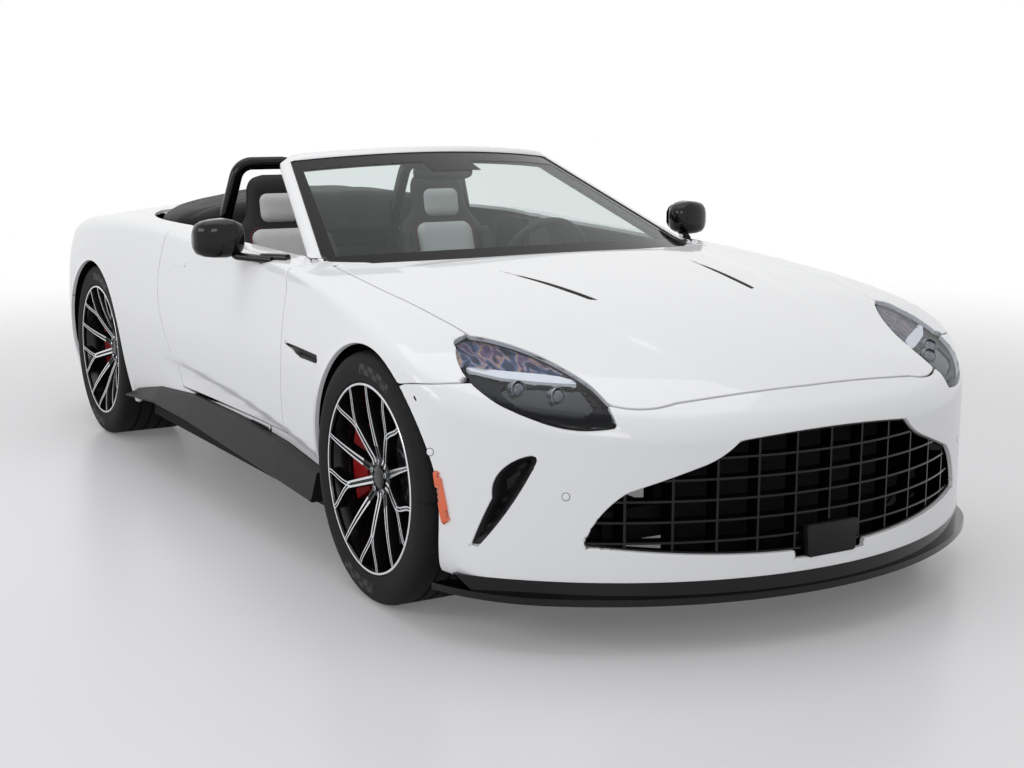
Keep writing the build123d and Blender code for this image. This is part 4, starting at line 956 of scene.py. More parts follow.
def build_panels(grid):
    """Painted outer panels: bonnet, bumpers, wings, doors, rear body and boot lid."""
    panel("bonnet_skin", grid, [inside_of(BONNET_PLAN, PLAN), above(480), not_in(inside_of(VENT_PLAN, PLAN))],
          "bonnet", "bonnet")
    panel("front_bumper_skin", grid, [
        inside_of(BUMPER_SIDE, SIDE), outside_of(BONNET_PLAN, PLAN, GAP), LAMP_HOLE, FRONT_EDGE, above(176),
        only_ahead(FA + 400, outside_of(GRILLE_FRONT, FRONT)),
        only_ahead(FA + 400, outside_of(PLATE_FRONT, FRONT)),
        only_ahead(FA + 300, outside_of(CURTAIN_FRONT, FRONT))], "body", "front_bumper")
    side_panels("wing_skin", grid, [
        in_front(512), outside_of(BONNET_PLAN, PLAN, GAP), outside_of(DOOR_SIDE, SIDE, GAP), OPEN_CABIN,
        LAMP_HOLE, outside_of(BUMPER_SIDE, SIDE, SEAM), BELOW_SILL, FRONT_EDGE,
        not_in(inside_of(STRAKE_SIDE, SIDE)), above(190)],
        "body", "wing_*")
    side_panels("door_skin", grid, [inside_of(DOOR_SIDE, SIDE), off_middle(700), OPEN_CABIN], "door_*",
                "door_*")
    panel("rear_body_skin", grid, [
        behind(507), outside_of(DOOR_SIDE, SIDE, GAP), OPEN_CABIN, outside_of(BOOT_PLAN, PLAN, GAP),
        outside_of(REAR_BUMPER_SIDE, SIDE, SEAM), BELOW_SILL, REAR_EDGE, LAMP_STRIP, above(190)], "body",
          "rear_body")
    panel("boot_lid_skin", grid, [inside_of(BOOT_PLAN, PLAN), above(600)], "boot_lid", "boot_lid")
    panel("rear_bumper_skin", grid, [
        inside_of(REAR_BUMPER_SIDE, SIDE), REAR_EDGE, DIFFUSER_HOLE, above(190),
        *(clear_of_pipe(*pipe) for pipe in PIPES)], "body", "rear_bumper")


# ------------------------------------------------------------------ lamps and small openings
DRL_TOP = [(FA + 326, 822), (FA + 385, 747), (FA + 445, 660), (FA + 479, 619), (FA + 519, 592)]
DRL_LOW = [(FA + 348, 822), (FA + 411, 762), (FA + 474, 678), (FA + 505, 635), (FA + 530, 596)]
LAMP_BLACK = [(FA + 430, 772), (FA + 462, 786), (FA + 531, 772), (FA + 578, 726), (FA + 618, 675),
              (FA + 640, 640), (FA + 622, 604), (FA + 545, 600)]
BORDER = 7.0               # the cover's blackened edge
PROJECTORS = ((FA + 465, 739), (FA + 540, 663))


def lamp_sheet(grid, fields, **how):
    """A sheet within the headlamp's outline, where the bonnet leaves it free."""
    how = {"edge": 0.8, "depth": 0, **how}
    return skin_sheet(grid,
                      [inside_of(LAMP_PLAN, PLAN), outside_of(BONNET_PLAN, PLAN, GAP), above(480),
                       in_front(0), *fields], **how)


def frame_point(x, y, depth):
    """Point on the body straight above (x, y), then depth along its inward normal, and that normal."""
    low, high = np.array([[x, y, 300.0]]), np.array([[x, y, 1300.0]])
    for _ in range(40):
        mid = (low + high) / 2
        low, high = (mid, high) if body_field(mid)[0] < 0 else (low, mid)
    normal = gradient(low)[0]
    return low[0] - normal * depth, normal


def facing(points, place, normal):
    """Points drawn about the +Z axis, moved to a place and turned to face along a direction."""
    turn = np.array(Vector((0, 0, 1)).rotation_difference(Vector(normal)).to_matrix())
    return np.asarray(points) @ turn.T + place


def build_headlamps(grid):
    """Headlamps: cover, film, light guide, tray, floor and two projectors a side."""
    cover = lamp_sheet(grid, [])
    border = lamp_sheet(grid, [lambda p: -BORDER - np.maximum(outline_field(LAMP_PLAN, p, PLAN),
                                                              GAP - outline_field(BONNET_PLAN, p, PLAN))])
    upper = DRL_TOP + [(FA + 600, 540), (FA + 150, 540), (FA + 150, 860), (FA + 320, 860)]
    guide = DRL_TOP + DRL_LOW[::-1]
    lower = DRL_LOW + [(FA + 720, 560), (FA + 760, 700), (FA + 500, 900), (FA + 340, 860)]
    film = lamp_sheet(grid, [inside_of(upper, PLAN)], lift=-14.0)
    bar = lamp_sheet(grid, [inside_of(guide, PLAN)], lift=-7.0, depth=12.0, inner=False)
    tray = lamp_sheet(grid, [inside_of(lower, PLAN), outside_of(LAMP_BLACK, PLAN)], lift=-16.0)
    dark = lamp_sheet(grid, [inside_of(LAMP_BLACK, PLAN, 1.0)], lift=-20.0)
    for side, sign in SIDES:
        node = ["headlamps"] if sign > 0 else ()
        for name, sheet, material, hides in (
                ("headlamp_cover", cover, "lamp_cover", node),
                ("headlamp_film", film, "smoked_reflector", ()),
                ("headlamp_guide", bar, "light_guide", ()), ("headlamp_tray", tray, "dark_reflector", ()),
                ("headlamp_floor", dark, "gloss_black_plastic", ()),
                ("headlamp_border", border, "black_enamel_band", ())):
            points, tris, shaded = on_side(sign, sheet[0], sheet[2], sheet[1])
            if name == "headlamp_border":
                points = points - shaded * 1.2
            new_piece(f"{name}_{side}", points, tris, "body", "lamp", [material], hides, shaded)
        for i, (x, y) in enumerate(PROJECTORS):
            place, normal = frame_point(x, y, 17.0)
            aim = normal * 0.35 + np.array((0.9, -0.25, 0.0))
            aim = aim / np.linalg.norm(aim)
            shell = lathe([(26, -14), (26, 4), (24.5, 6), (22, 4), (20.5, 0)], 40)
            lens = lathe([(20.5, -1), (18, 5), (12, 9.5), (6, 11.5), (0.4, 12)], 40)
            for part, (points, faces), material in (("bezel", shell, "silvered_bezel"),
                                                    ("lens", lens, "projector_lens")):
                points, faces, _ = on_side(sign, facing(points, place, aim), faces)
                new_piece(f"headlamp_{part}_{i}_{side}", points, faces, "body", "lamp", [material])


def build_tail_lamps(grid):
    """The red band across the tail."""
    inside = [behind(RA - 781), lambda p: p[:, 1] - 759, lambda p: np.abs(p[:, 2] - 771) - 28]
    points, shaded, tris = skin_sheet(grid, inside, centre=True, lift=-1.0, edge=3.0)
    new_piece("tail_lamp_lens", points, tris, "body", "lamp_red", ["red_lens"], ["tail_lamps"], shaded)


SENSORS = ((FA + 632, 695, 417), (FA + 364, 947, 511))      # parking sensors in the bumper's corner


def skin_point(place):
    """Skin point nearest to a rough place, and the outward normal there."""
    place = np.array([place], dtype=float)
    for _ in range(20):
        place = place - 0.7 * np.clip(body_field(place), -40, 40)[:, None] * gradient(place)
    return place[0], gradient(place)[0]


def build_sensors():
    """Painted parking sensors in the front bumper's corners."""
    cap = lathe([(9.6, -3), (9.6, 0.3), (9.0, 0.6), (0.3, 0.8)], 32)
    ring = lathe([(9.6, -3), (9.6, 0.4), (11.0, 0.4), (11.0, -3)], 32)
    for i, rough in enumerate(SENSORS):
        place, normal = skin_point(rough)
        for side, sign in SIDES:
            for part, (points, faces), slot, material in (
                    ("sensor_cap", cap, "white_paint", "coated_white_paint"),
                    ("sensor_seal", ring, "satin_black", "satin_black_plastic")):
                points, faces, _ = on_side(sign, facing(points, place, normal), faces)
                new_piece(f"{part}_{i}_{side}", points, faces, "body", slot, [material])


def bowl_to(depth, slope=14.0):
    """Depth of a duct that falls away from its edge."""
    return lambda inset: depth * smooth(inset / slope)


def build_openings(grid):
    """Dark ducts in the bonnet, the bumper's corners and behind the front wheels."""
    vent = skin_sheet(grid, [inside_of(VENT_PLAN, PLAN, -0.4), above(480)], lift=-1.5, edge=0.5, depth=0,
                      bowl=bowl_to(9.0, 9.0))
    curtain = skin_sheet(grid, [inside_of(CURTAIN_FRONT, FRONT, -0.4), in_front(FA + 300)], lift=-1.5,
                         edge=0.5, depth=0, bowl=bowl_to(38.0, 22.0))
    strake = skin_sheet(grid, [inside_of(STRAKE_SIDE, SIDE, -0.4), off_middle(700)], lift=-1.5, edge=0.5,
                        depth=0, bowl=bowl_to(10.0, 8.0))
    marker = skin_sheet(grid, [inside_of(MARKER_SIDE, SIDE), off_middle(700)], lift=4.5, edge=1.0, depth=8.0,
                        inner=False)
    handle = skin_sheet(grid, [inside_of(HANDLE_SIDE, SIDE), off_middle(700)], lift=1.4, edge=1.2, depth=4.0,
                        inner=False)
    for side, sign in SIDES:
        for name, sheet, body, slot, material in (
                ("bonnet_vent", vent, "bonnet", "satin_black", "satin_black_plastic"),
                ("bumper_duct", curtain, "body", "satin_black", "satin_black_plastic"),
                ("wing_duct", strake, "body", "satin_black", "satin_black_plastic"),
                ("side_marker", marker, "body", "lamp_red", "amber_lens"),
                ("door_handle", handle, f"door_{side}", "white_paint", "coated_white_paint")):
            points, tris, shaded = on_side(sign, sheet[0], sheet[2], sheet[1])
            new_piece(f"{name}_{side}", points, tris, body, slot, [material], (),
                      None if "duct" in name else shaded)


# ------------------------------------------------------------------ windscreen
SCREEN_LOW = dict(corner=(585.0, 740.0, 884.0), middle=(852.0, 914.0))     # x, y, z; x, z at the centre
SCREEN_TOP = dict(corner=(-150.0, 548.0, 1196.0), middle=(-32.0, 1226.0))


def screen_point(t, s, out=0.0, wider=0.0):
    """Point of the glass from cowl (t = 0) to header (1) and from right (s = -1) to left (1)."""
    corner = [a + t * (b - a) for a, b in zip(SCREEN_LOW["corner"], SCREEN_TOP["corner"])]
    middle = [a + t * (b - a) for a, b in zip(SCREEN_LOW["middle"], SCREEN_TOP["middle"])]
    rise = np.array((middle[0] - corner[0], 0, middle[1] - corner[2]))
    sag = np.linalg.norm(rise)
    half = corner[1]
    radius = (half**2 + sag**2) / (2 * sag)
    angle = np.arcsin(half / radius) * s
    y = (radius + out) * sin(angle) + wider * np.sign(s)
    up = sag - radius + (radius + out) * cos(angle)
    base = np.array((corner[0], 0, corner[2]))
    return base + rise / sag * up + np.array((0, y, 0))


def screen_grid(ts, ss, out=0.0):
    """Grid of points on the windscreen's glass."""
    return np.array([[screen_point(t, s, out) for s in ss] for t in ts])


BAND_EDGES = (0.085, 0.9, 0.93)        # black band, as shares of the glass: cowl, header, sides
MIRROR_FIELD = (0.8, 0.16)             # and the darkened field behind the inside mirror
DOOR_SWING = (430, 594, 718, 907)      # room for the opening door: x from and to, y from, z up to


def build_windscreen():
    """Glass with its black band, and the painted surround."""
    ts, ss = np.linspace(0, 1, 41), np.linspace(-1, 1, 61)
    outer, inner = screen_grid(ts, ss, 0.0), screen_grid(ts, ss, -5.0)
    points, quads = joined(sheet_mesh(outer), sheet_mesh(inner))
    cells = len(quads) // 2
    quads = [q if i >= cells else q[::-1] for i, q in enumerate(quads)]
    t_mid, s_mid = (ts[:-1] + ts[1:]) / 2, (ss[:-1] + ss[1:]) / 2
    low, high, edge = BAND_EDGES
    behind_mirror = [(t > MIRROR_FIELD[0]) & (np.abs(s_mid) < MIRROR_FIELD[1]) for t in t_mid]
    band = [t < low or t > high or abs(s) > edge or dark
            for t, row in zip(t_mid, behind_mirror) for s, dark in zip(s_mid, row)]
    new_piece("windscreen_glass", points, quads, "body", "glass", ["screen_glass", "black_enamel_band"],
              ["windscreen"], slots=[int(b) for b in band] * 2)
    left = [screen_point(t, 1.0) for t in np.linspace(-0.03, 0.985, 26)]
    top = [screen_point(1.0, s) for s in np.linspace(0.97, -0.97, 31)]
    right = [screen_point(t, -1.0) for t in np.linspace(0.985, -0.03, 26)]
    path = np.array(left + top + right)
    middle = screen_point(0.5, 0.0)
    ahead = np.gradient(path, axis=0)
    ahead /= np.linalg.norm(ahead, axis=1, keepdims=True)
    rows = []
    for point, way in zip(path, ahead):
        outward = np.cross(way, np.cross(point - np.array((-400.0, 0.0, 400.0)), way))
        outward /= np.linalg.norm(outward)
        across = np.cross(way, outward)
        across /= np.linalg.norm(across)
        if across @ (point - middle) < 0:
            across = -across
        rows.append([point + across * a + outward * b for a, b in PILLAR_SECTION])
    points, quads = rings_mesh(np.array(rows), caps=True)
    x, y, z = points.T
    x0, x1, y0, z1 = DOOR_SWING
    swept_by_door = (x > x0) & (x < x1) & (np.abs(y) > y0) & (z < z1)
    points[swept_by_door, 2] = z1
    slots = [0 if i % len(PILLAR_SECTION) < PILLAR_PAINTED else 1 for i in range(len(quads))]
    new_piece("windscreen_surround", points, quads, "body", "white_paint",
              ["coated_white_paint", "satin_black_plastic"],
              ["windscreen_frame"], slots=slots, sharp=50)


# section of the pillar, across and out of it, and how many of its edges are painted
PILLAR_SECTION = [(-4, 3), (4, 8), (18, 12), (34, 8), (42, -4), (44, -20), (36, -36), (10, -44), (-20, -40),
                  (-28, -26), (-24, -10), (-10, -6)]
PILLAR_PAINTED = 5


# ------------------------------------------------------------------ mirrors
POD_SECTIONS = (   # y, middle x and z, depth, height, squareness
    (894, 268, 962, 40, 60, 2.6), (905, 267, 962, 78, 98, 3.0), (930, 264, 962, 102, 120, 3.4),
    (960, 262, 962, 112, 132, 3.6), (1000, 257, 961, 108, 128, 3.4), (1030, 252, 960, 96, 118, 3.2),
    (1050, 247, 959, 72, 98, 2.8), (1060, 244, 958, 36, 60, 2.4))


def build_screen_parts():
    """Camera pod and inside mirror under the header, and the sensor panel in the grille."""
    rows = [[tuple(screen_point(t, 0.0) + (a * 0.4 - 16 - drop, b, a * -0.35 - drop * 0.5))
             for a, b in round_section(30, width, 28, 3.0)]
            for t, width, drop in ((0.995, 230, 0), (0.96, 250, 4), (0.90, 226, 8), (0.85, 150, 8))]
    pod = rings_mesh(np.array(rows), caps=True)
    x, _, z = screen_point(0.86, 0.0)
    glass = [[(x - 62 + d, a, z - 28 + b) for a, b in round_section(246 * k, 66 * k, 40, 3.4)]
             for d, k in ((6, 0.9), (4, 1.0), (-10, 1.0), (-16, 0.9))]
    stalk = swept([(x - 30, 0, z + 6), (x - 56, 0, z - 22)], round_section(22, 18, 12))
    points, faces = joined(pod, rings_mesh(np.array(glass), caps=True), stalk)
    new_piece("inside_mirror_and_pod", points, faces, "body", "gloss_black", ["gloss_black_plastic"],
              sharp=50)
    rows = [[(TIP + d, y * k, 268 + (z - 268) * k) for y, z in sample([
        (-82, 228), (-89, 306), (-83, 312), (83, 312), (89, 306), (82, 228), (76, 224), (-76, 224)])]
        for d, k in ((-15, 1.0), (1.0, 1.0), (2.0, 0.975))]
    points, faces = rings_mesh(np.array(rows), caps=True)
    new_piece("sensor_panel_cover", points, faces, "body", "satin_black", ["satin_black_plastic"],
              ["sensor_panel"], sharp=40)


SEAM_SECTIONS = ((931, 264, 962, 102, 120, 3.4), (934, 264, 962, 103, 121, 3.4))
SEAM_PROUD = 1.006


def build_mirrors():
    """Outside mirrors on their arms."""
    rows = [[(x + a, y, z + b) for a, b in round_section(depth, height, 40, square)]
            for y, x, z, depth, height, square in POD_SECTIONS]
    pod = rings_mesh(np.array(rows), caps=True)
    arm = swept(rounded_path([(262, 936, 934), (300, 926, 902), (370, 878, 897), (424, 846, 896)], 18),
                round_section(40, 26, 16, 2.4), scale=None)
    foot = swept([(470, 815, 898), (440, 832, 898), (400, 854, 897), (375, 868, 896)],
                 round_section(30, 38, 16, 3.0))
    line = [[(x + a * SEAM_PROUD, y, z + b * SEAM_PROUD) for a, b in round_section(depth, height, 40, square)]
            for y, x, z, depth, height, square in SEAM_SECTIONS]
    seam = rings_mesh(np.array(line))
    glass_rows = []
    for y in np.linspace(912, 1046, 15):
        half = 50 * (1 - abs((y - 979) / 70) ** 4) ** 0.5
        glass_rows.append([(-0.0, y, 962 + half * k) for k in np.linspace(-1, 1, 11)])
    glass = np.array(glass_rows)
    glass[:, :, 0] = 262 - 57.5 - 2.0 * (1 - ((glass[:, :, 1] - 979) / 70) ** 2)
    for side, sign in SIDES:
        for name, mesh, material, hides in (
                ("mirror_pod", joined(pod, arm, foot), "gloss_black_plastic", [f"mirror_{side}"]),
                ("mirror_seam", seam, "satin_black_plastic", ()),
                ("mirror_glass", sheet_mesh(glass), "silvered_glass", ())):
            points, faces, _ = on_side(sign, *mesh)
            new_piece(f"{name}_{side}", points, faces, f"door_{side}", "gloss_black", [material], hides,
                      sharp=50)


# ------------------------------------------------------------------ wheels
RIM_LIP, HUB_R, SPLIT_SHARE, SPOKES = 274.0, 62.0, 0.60, 5
WHEELS = (("front", FA, FRONT_R, 960.0, 38.0, 275.0), ("rear", RA, REAR_R, 955.0, 65.0, 325.0))
SPOKE_DEPTH = 30.0
BEAD_R = 266.7             # 21 inch rim
ROUND = 120                # steps round a rim or a disc


def spoke(path, dish, widths, depth=SPOKE_DEPTH, start=0.0, stop=1.0):
    """One arm of the wheel along (radius, angle) points: a black body with narrow machined front edges."""
    rows = []
    for k, (r, turn) in enumerate(path):
        share = k / (len(path) - 1)
        lift = -dish * max(0.0, 1 - (r - HUB_R) / (RIM_LIP - HUB_R)) ** 1.5 if r > HUB_R else -dish
        rows.append((r * cos(turn), r * sin(turn), lift, widths[0] + (widths[1] - widths[0]) * share))
    rows = np.array(rows)
    ahead = np.gradient(rows[:, :2], axis=0)
    ahead /= np.linalg.norm(ahead, axis=1, keepdims=True)
    across = np.stack([-ahead[:, 1], ahead[:, 0]], 1)
    half = rows[:, 3:4] / 2
    rings = []
    for side, height in ((-1.35, -depth), (-1.0, -2.5), (-0.92, 0.0), (-0.38, 0.0), (-0.28, -3.5),
                         (0.28, -3.5), (0.38, 0.0), (0.92, 0.0), (1.0, -2.5), (1.35, -depth)):
        rings.append(np.column_stack([rows[:, :2] + across * half * side, rows[:, 2] + height]))
    grid = np.array(rings).transpose(1, 0, 2)
    points, quads = rings_mesh(grid, caps=True)
    n = grid.shape[1]
    slots = [1 if i % n in (2, 6) and start <= (i // n) / (len(path) - 2) <= stop else 0
             for i in range((len(path) - 1) * n)] + [0, 0]
    return points, quads, slots


def wheel_star(dish):
    """Five arms that split in two and five single ones between them."""
    parts = []
    split = SPLIT_SHARE * RIM_LIP
    radii = np.linspace(0, 1, 15)
    for i in range(SPOKES):
        turn = 2 * pi * i / SPOKES + pi / 2
        parts.append(spoke([(44 + (split + 6 - 44) * t, turn) for t in radii], dish, (25, 21)))
        for side in (-1, 1):
            branch = [(split - 8 + (RIM_LIP - split + 2) * t,
                       turn + side * radians(12.0) * smooth(t) ** 0.8 * 1.0)
                      for t in radii]
            parts.append(spoke(branch, dish, (15, 13)))
        single = turn + pi / SPOKES
        parts.append(spoke([(44 + (RIM_LIP - 6 - 44) * t, single) for t in radii], dish, (27, 12),
                           start=0.16))
    points, faces, slots = [], [], []
    start = 0
    for part_points, part_faces, part_slots in parts:
        points.append(part_points)
        faces += [[j + start for j in face] for face in part_faces]
        slots += part_slots
        start += len(part_points)
    return np.concatenate(points), faces, slots


def build_wheels():
    """Rims, tyres and brake discs of all four wheels."""
    for end, x, z, out_y, dish, width in WHEELS:
        star, star_faces, star_slots = wheel_star(dish)
        barrel = lathe([(RIM_LIP - 9, -6), (RIM_LIP - 7, -0.6), (RIM_LIP - 5, 0), (RIM_LIP - 1.5, 0),
                        (RIM_LIP, -1.5), (RIM_LIP, -9), (BEAD_R, -13), (BEAD_R, 13 - width + 10),
                        (RIM_LIP, 19 - width), (RIM_LIP, 10 - width),
                        (RIM_LIP - 10, 10 - width), (252, 26 - width), (250, -60), (256, -34),
                        (RIM_LIP - 12, -14)], ROUND)
        ring_slots = [1 if i // ROUND in (1, 2, 3) else 0 for i in range(len(barrel[1]))]
        hub = lathe([(8, -dish - 30), (HUB_R, -dish - 26), (HUB_R + 1, -dish - 5), (HUB_R - 3, -dish),
                     (50, -dish - 1), (36, -dish - 5), (33, -dish - 5), (32.5, -dish + 1.0),
                     (30, -dish + 3.0), (20, -dish + 4.5), (10, -dish + 5), (0.5, -dish + 5.1)], 60)
        meshes = [(star, star_faces), barrel, hub]
        slots = star_slots + ring_slots + [0] * len(hub[1])
        for i in range(SPOKES):
            turn = 2 * pi * i / SPOKES + pi / 2 + pi / SPOKES
            bolt = lathe([(9, -dish - 12), (9, -dish + 3), (7.5, -dish + 4.5), (5.5, -dish + 4.5),
                          (5, -dish + 1), (0.4, -dish + 1)], 6)
            meshes.append((bolt[0] + np.array((46 * cos(turn), 46 * sin(turn), 0)), bolt[1]))
            slots += [2] * len(bolt[1])
        points, faces = joined(*meshes)
        tyre_points, tyre_faces, tyre_uv, tyre_slots = tyre_mesh(z, width)
        disc_in = -dish - SPOKE_DEPTH - 4 - (56 if end == "front" else 50)
        disc = lathe([(80, disc_in), (199, disc_in), (200, disc_in + 1), (200, disc_in + 11),
                      (196, disc_in + 13), (196, disc_in + 21), (200, disc_in + 23), (200, disc_in + 33),
                      (199, disc_in + 34), (82, disc_in + 34), (78, disc_in + 38), (78, -dish - 35),
                      (74, -dish - SPOKE_DEPTH - 4), (29, -dish - SPOKE_DEPTH - 4)], ROUND)
        for side, sign in SIDES:
            body = f"wheel_{end}_{side}"
            for name, pts, fcs, materials, slot, node, extra in (
                    ("rim", points, faces, ["black_alloy_paint", "machined_aluminium", "satin_chrome"],
                     "wheel_black", "rim", {"slots": slots}),
                    ("tyre", tyre_points, tyre_faces, ["tyre_rubber", "checker_rubber"], "tyre", "tyre",
                     {"uv": tyre_uv, "slots": tyre_slots}),
                    ("disc", disc[0], disc[1], ["ground_iron"], "disc_iron", "brake_disc", {})):
                placed = np.column_stack([x + pts[:, 0], out_y + pts[:, 2], z - pts[:, 1]])
                placed, sided, _ = on_side(sign, placed, fcs)
                new_piece(f"{name}_finish_{end}_{side}", placed, sided, body, slot, materials,
                          [f"{node}_{end}_{side}"], sharp=32, **extra)


def tyre_mesh(radius, width, steps=180):
    """Tyre on its own axis with tread grooves and a UV of turn and distance down the sidewall."""
    near, far = 5.0, 5.0 - width
    bead, mid = 266.7, (266.7 + radius) / 2
    profile = [(bead, -13.2), (RIM_LIP + 0.8, -9.4), (RIM_LIP + 3, -1.0), (RIM_LIP + 6, 1.5),
               (mid - 16, 4.0), (mid, near), (mid + 14, 4.2), (radius - 20, -0.5), (radius - 12, -4.5),
               (radius - 6, -11.0), (radius - 2, -20.0),
               (radius, -30.0)]
    grooves = np.linspace(near - 30, far + 30, 6)[1:-1]
    for g in grooves:
        profile += [(radius, g + 6), (radius - 7, g + 4.5), (radius - 7, g - 4.5), (radius, g - 6)]
    shoulder = [(r, near + far - h) for r, h in reversed(profile[2:12])]
    profile += shoulder + [(RIM_LIP + 0.8, near + far + 9.4), (bead, near + far + 13.2), (bead, far + 60),
                           (bead - 1, near - 60)]
    points, faces = lathe(profile, steps)
    rows = np.repeat(np.arange(len(profile)), steps)
    turn = np.tile(np.arange(steps) / steps, len(profile))
    across = np.arange(len(faces)) // steps
    along_turn = (np.arange(len(faces)) % steps) / steps
    patch = (across >= 4) & (across <= 5) & (np.abs((along_turn * 2 - 0.056) % 1.0 - 0.5) < 0.09)
    return points, faces, np.column_stack([turn * 72, rows.astype(float)]), patch.astype(int)


# ------------------------------------------------------------------ cabin
SEAT_Y, DASH_X = 372.0, FA - 830
SPINE = (          # along the backrest: x, z, half-width, thickness
    (RA + 735, 330, 215, 120), (RA + 722, 420, 236, 135), (RA + 700, 560, 244, 130),
    (RA + 672, 700, 236, 112), (RA + 640, 820, 214, 92), (RA + 622, 890, 188, 78), (RA + 610, 950, 138, 68),
    (RA + 598, 1010, 124, 70), (RA + 590, 1070, 118, 72), (RA + 584, 1105, 96, 56), (RA + 583, 1120, 50, 26))


def along(path, v):
    """Point and outward normal at a distance along a path in x and z."""
    path = np.asarray(path, float)
    steps = np.hypot(*np.diff(path, axis=0).T)
    at = np.concatenate([[0], np.cumsum(steps)])
    v = np.asarray(v, float)
    px, pz = np.interp(v, at, path[:, 0]), np.interp(v, at, path[:, 1])
    dx = np.interp(v + 15, at, path[:, 0]) - np.interp(v - 15, at, path[:, 0])
    dz = np.interp(v + 15, at, path[:, 1]) - np.interp(v - 15, at, path[:, 1])
    size = np.maximum(np.hypot(dx, dz), 1e-9)
    return px, pz, dx / size, dz / size


def on_path(mesh, path, sink=0.0):
    """A pillow's (u, v, height) points laid along a path: u across the car, v along, height outwards."""
    points, faces = mesh
    x, z, dx, dz = along(path, points[:, 1])
    height = points[:, 2] - sink
    placed = np.column_stack([x + dz * height, points[:, 0], z - dx * height])
    return placed, faces


def soft(name, points, faces, material, slot, replaces=()):
    """A padded or cloth piece on the body."""
    piece = new_piece(name, points, faces, "body", slot, [material], replaces, sharp=75)
    return piece


def stitches(path, normal, length, gap, radius=1.3):
    """A row of thread stitches along a path: short rounded rods that stand a little proud."""
    path, normal = np.asarray(path, float), np.asarray(normal, float)
    steps = np.linalg.norm(np.diff(path, axis=0), axis=1)
    at = np.concatenate([[0], np.cumsum(steps)])
    meshes = []
    for start in np.arange(gap, at[-1] - length, length + gap):
        where = np.linspace(start, start + length, 4)
        place = np.column_stack([np.interp(where, at, path[:, i]) for i in range(3)])
        out = np.array([np.interp(start, at, normal[:, i]) for i in range(3)])
        place = place + out * (radius * np.array([0.2, 1.0, 1.0, 0.2]))[:, None]
        meshes.append(swept(place, round_section(2 * radius, 2 * radius, 6), up=out))
    return joined(*meshes)


def rounded_rectangle(u0, u1, v0, v1, r):
    """Outline with four round corners."""
    k = r * 0.2929
    return [(u0 + r, v0), (u1 - r, v0), (u1 - k, v0 + k, "arc"), (u1, v0 + r),
            (u1, v1 - r), (u1 - k, v1 - k, "arc"), (u1 - r, v1), (u0 + r, v1),
            (u0 + k, v1 - k, "arc"), (u0, v1 - r), (u0, v0 + r), (u0 + k, v0 + k, "arc")]


def spine_rings(rows, power=3.4, steps=48):
    """Closed body round a spine in x and z with a half-width and a thickness at each station."""
    rows = np.array(rows, float)
    ahead = np.gradient(rows[:, :2], axis=0)
    ahead /= np.linalg.norm(ahead, axis=1, keepdims=True)
    rings = []
    for (x, z, half, thick), (dx, dz) in zip(rows, ahead):
        section = round_section(2 * half, thick, steps, power)
        rings.append([(x + dz * b, a, z - dx * b) for a, b in section])
    return rings_mesh(np.array(rings), caps=True)


def smoothed(rows, steps=5):
    """Rows of numbers with a smooth curve through them, in finer steps."""
    rows = np.array(rows, float)
    t = np.arange(len(rows), dtype=float)
    fine = np.linspace(0, len(rows) - 1, steps * (len(rows) - 1) + 1)
    return hermite(fine, t, rows)


def outline_path(outline, path, step=4.0, inset=0.0, lift=0.0):
    """The outline's edge as a line on a path surface, with its normals."""
    poly = sample(outline)
    centre = poly.mean(0)
    poly = poly + (centre - poly) / np.linalg.norm(centre - poly, axis=1, keepdims=True) * inset
    poly = np.vstack([poly, poly[:1]])
    steps = np.concatenate([[0], np.cumsum(np.linalg.norm(np.diff(poly, axis=0), axis=1))])
    where = np.arange(0, steps[-1], step)
    u, v = np.interp(where, steps, poly[:, 0]), np.interp(where, steps, poly[:, 1])
    x, z, dx, dz = along(path, v)
    normal = np.column_stack([dz, 0 * dx, -dx])
    return np.column_stack([x, u, z]) + normal * lift, normal


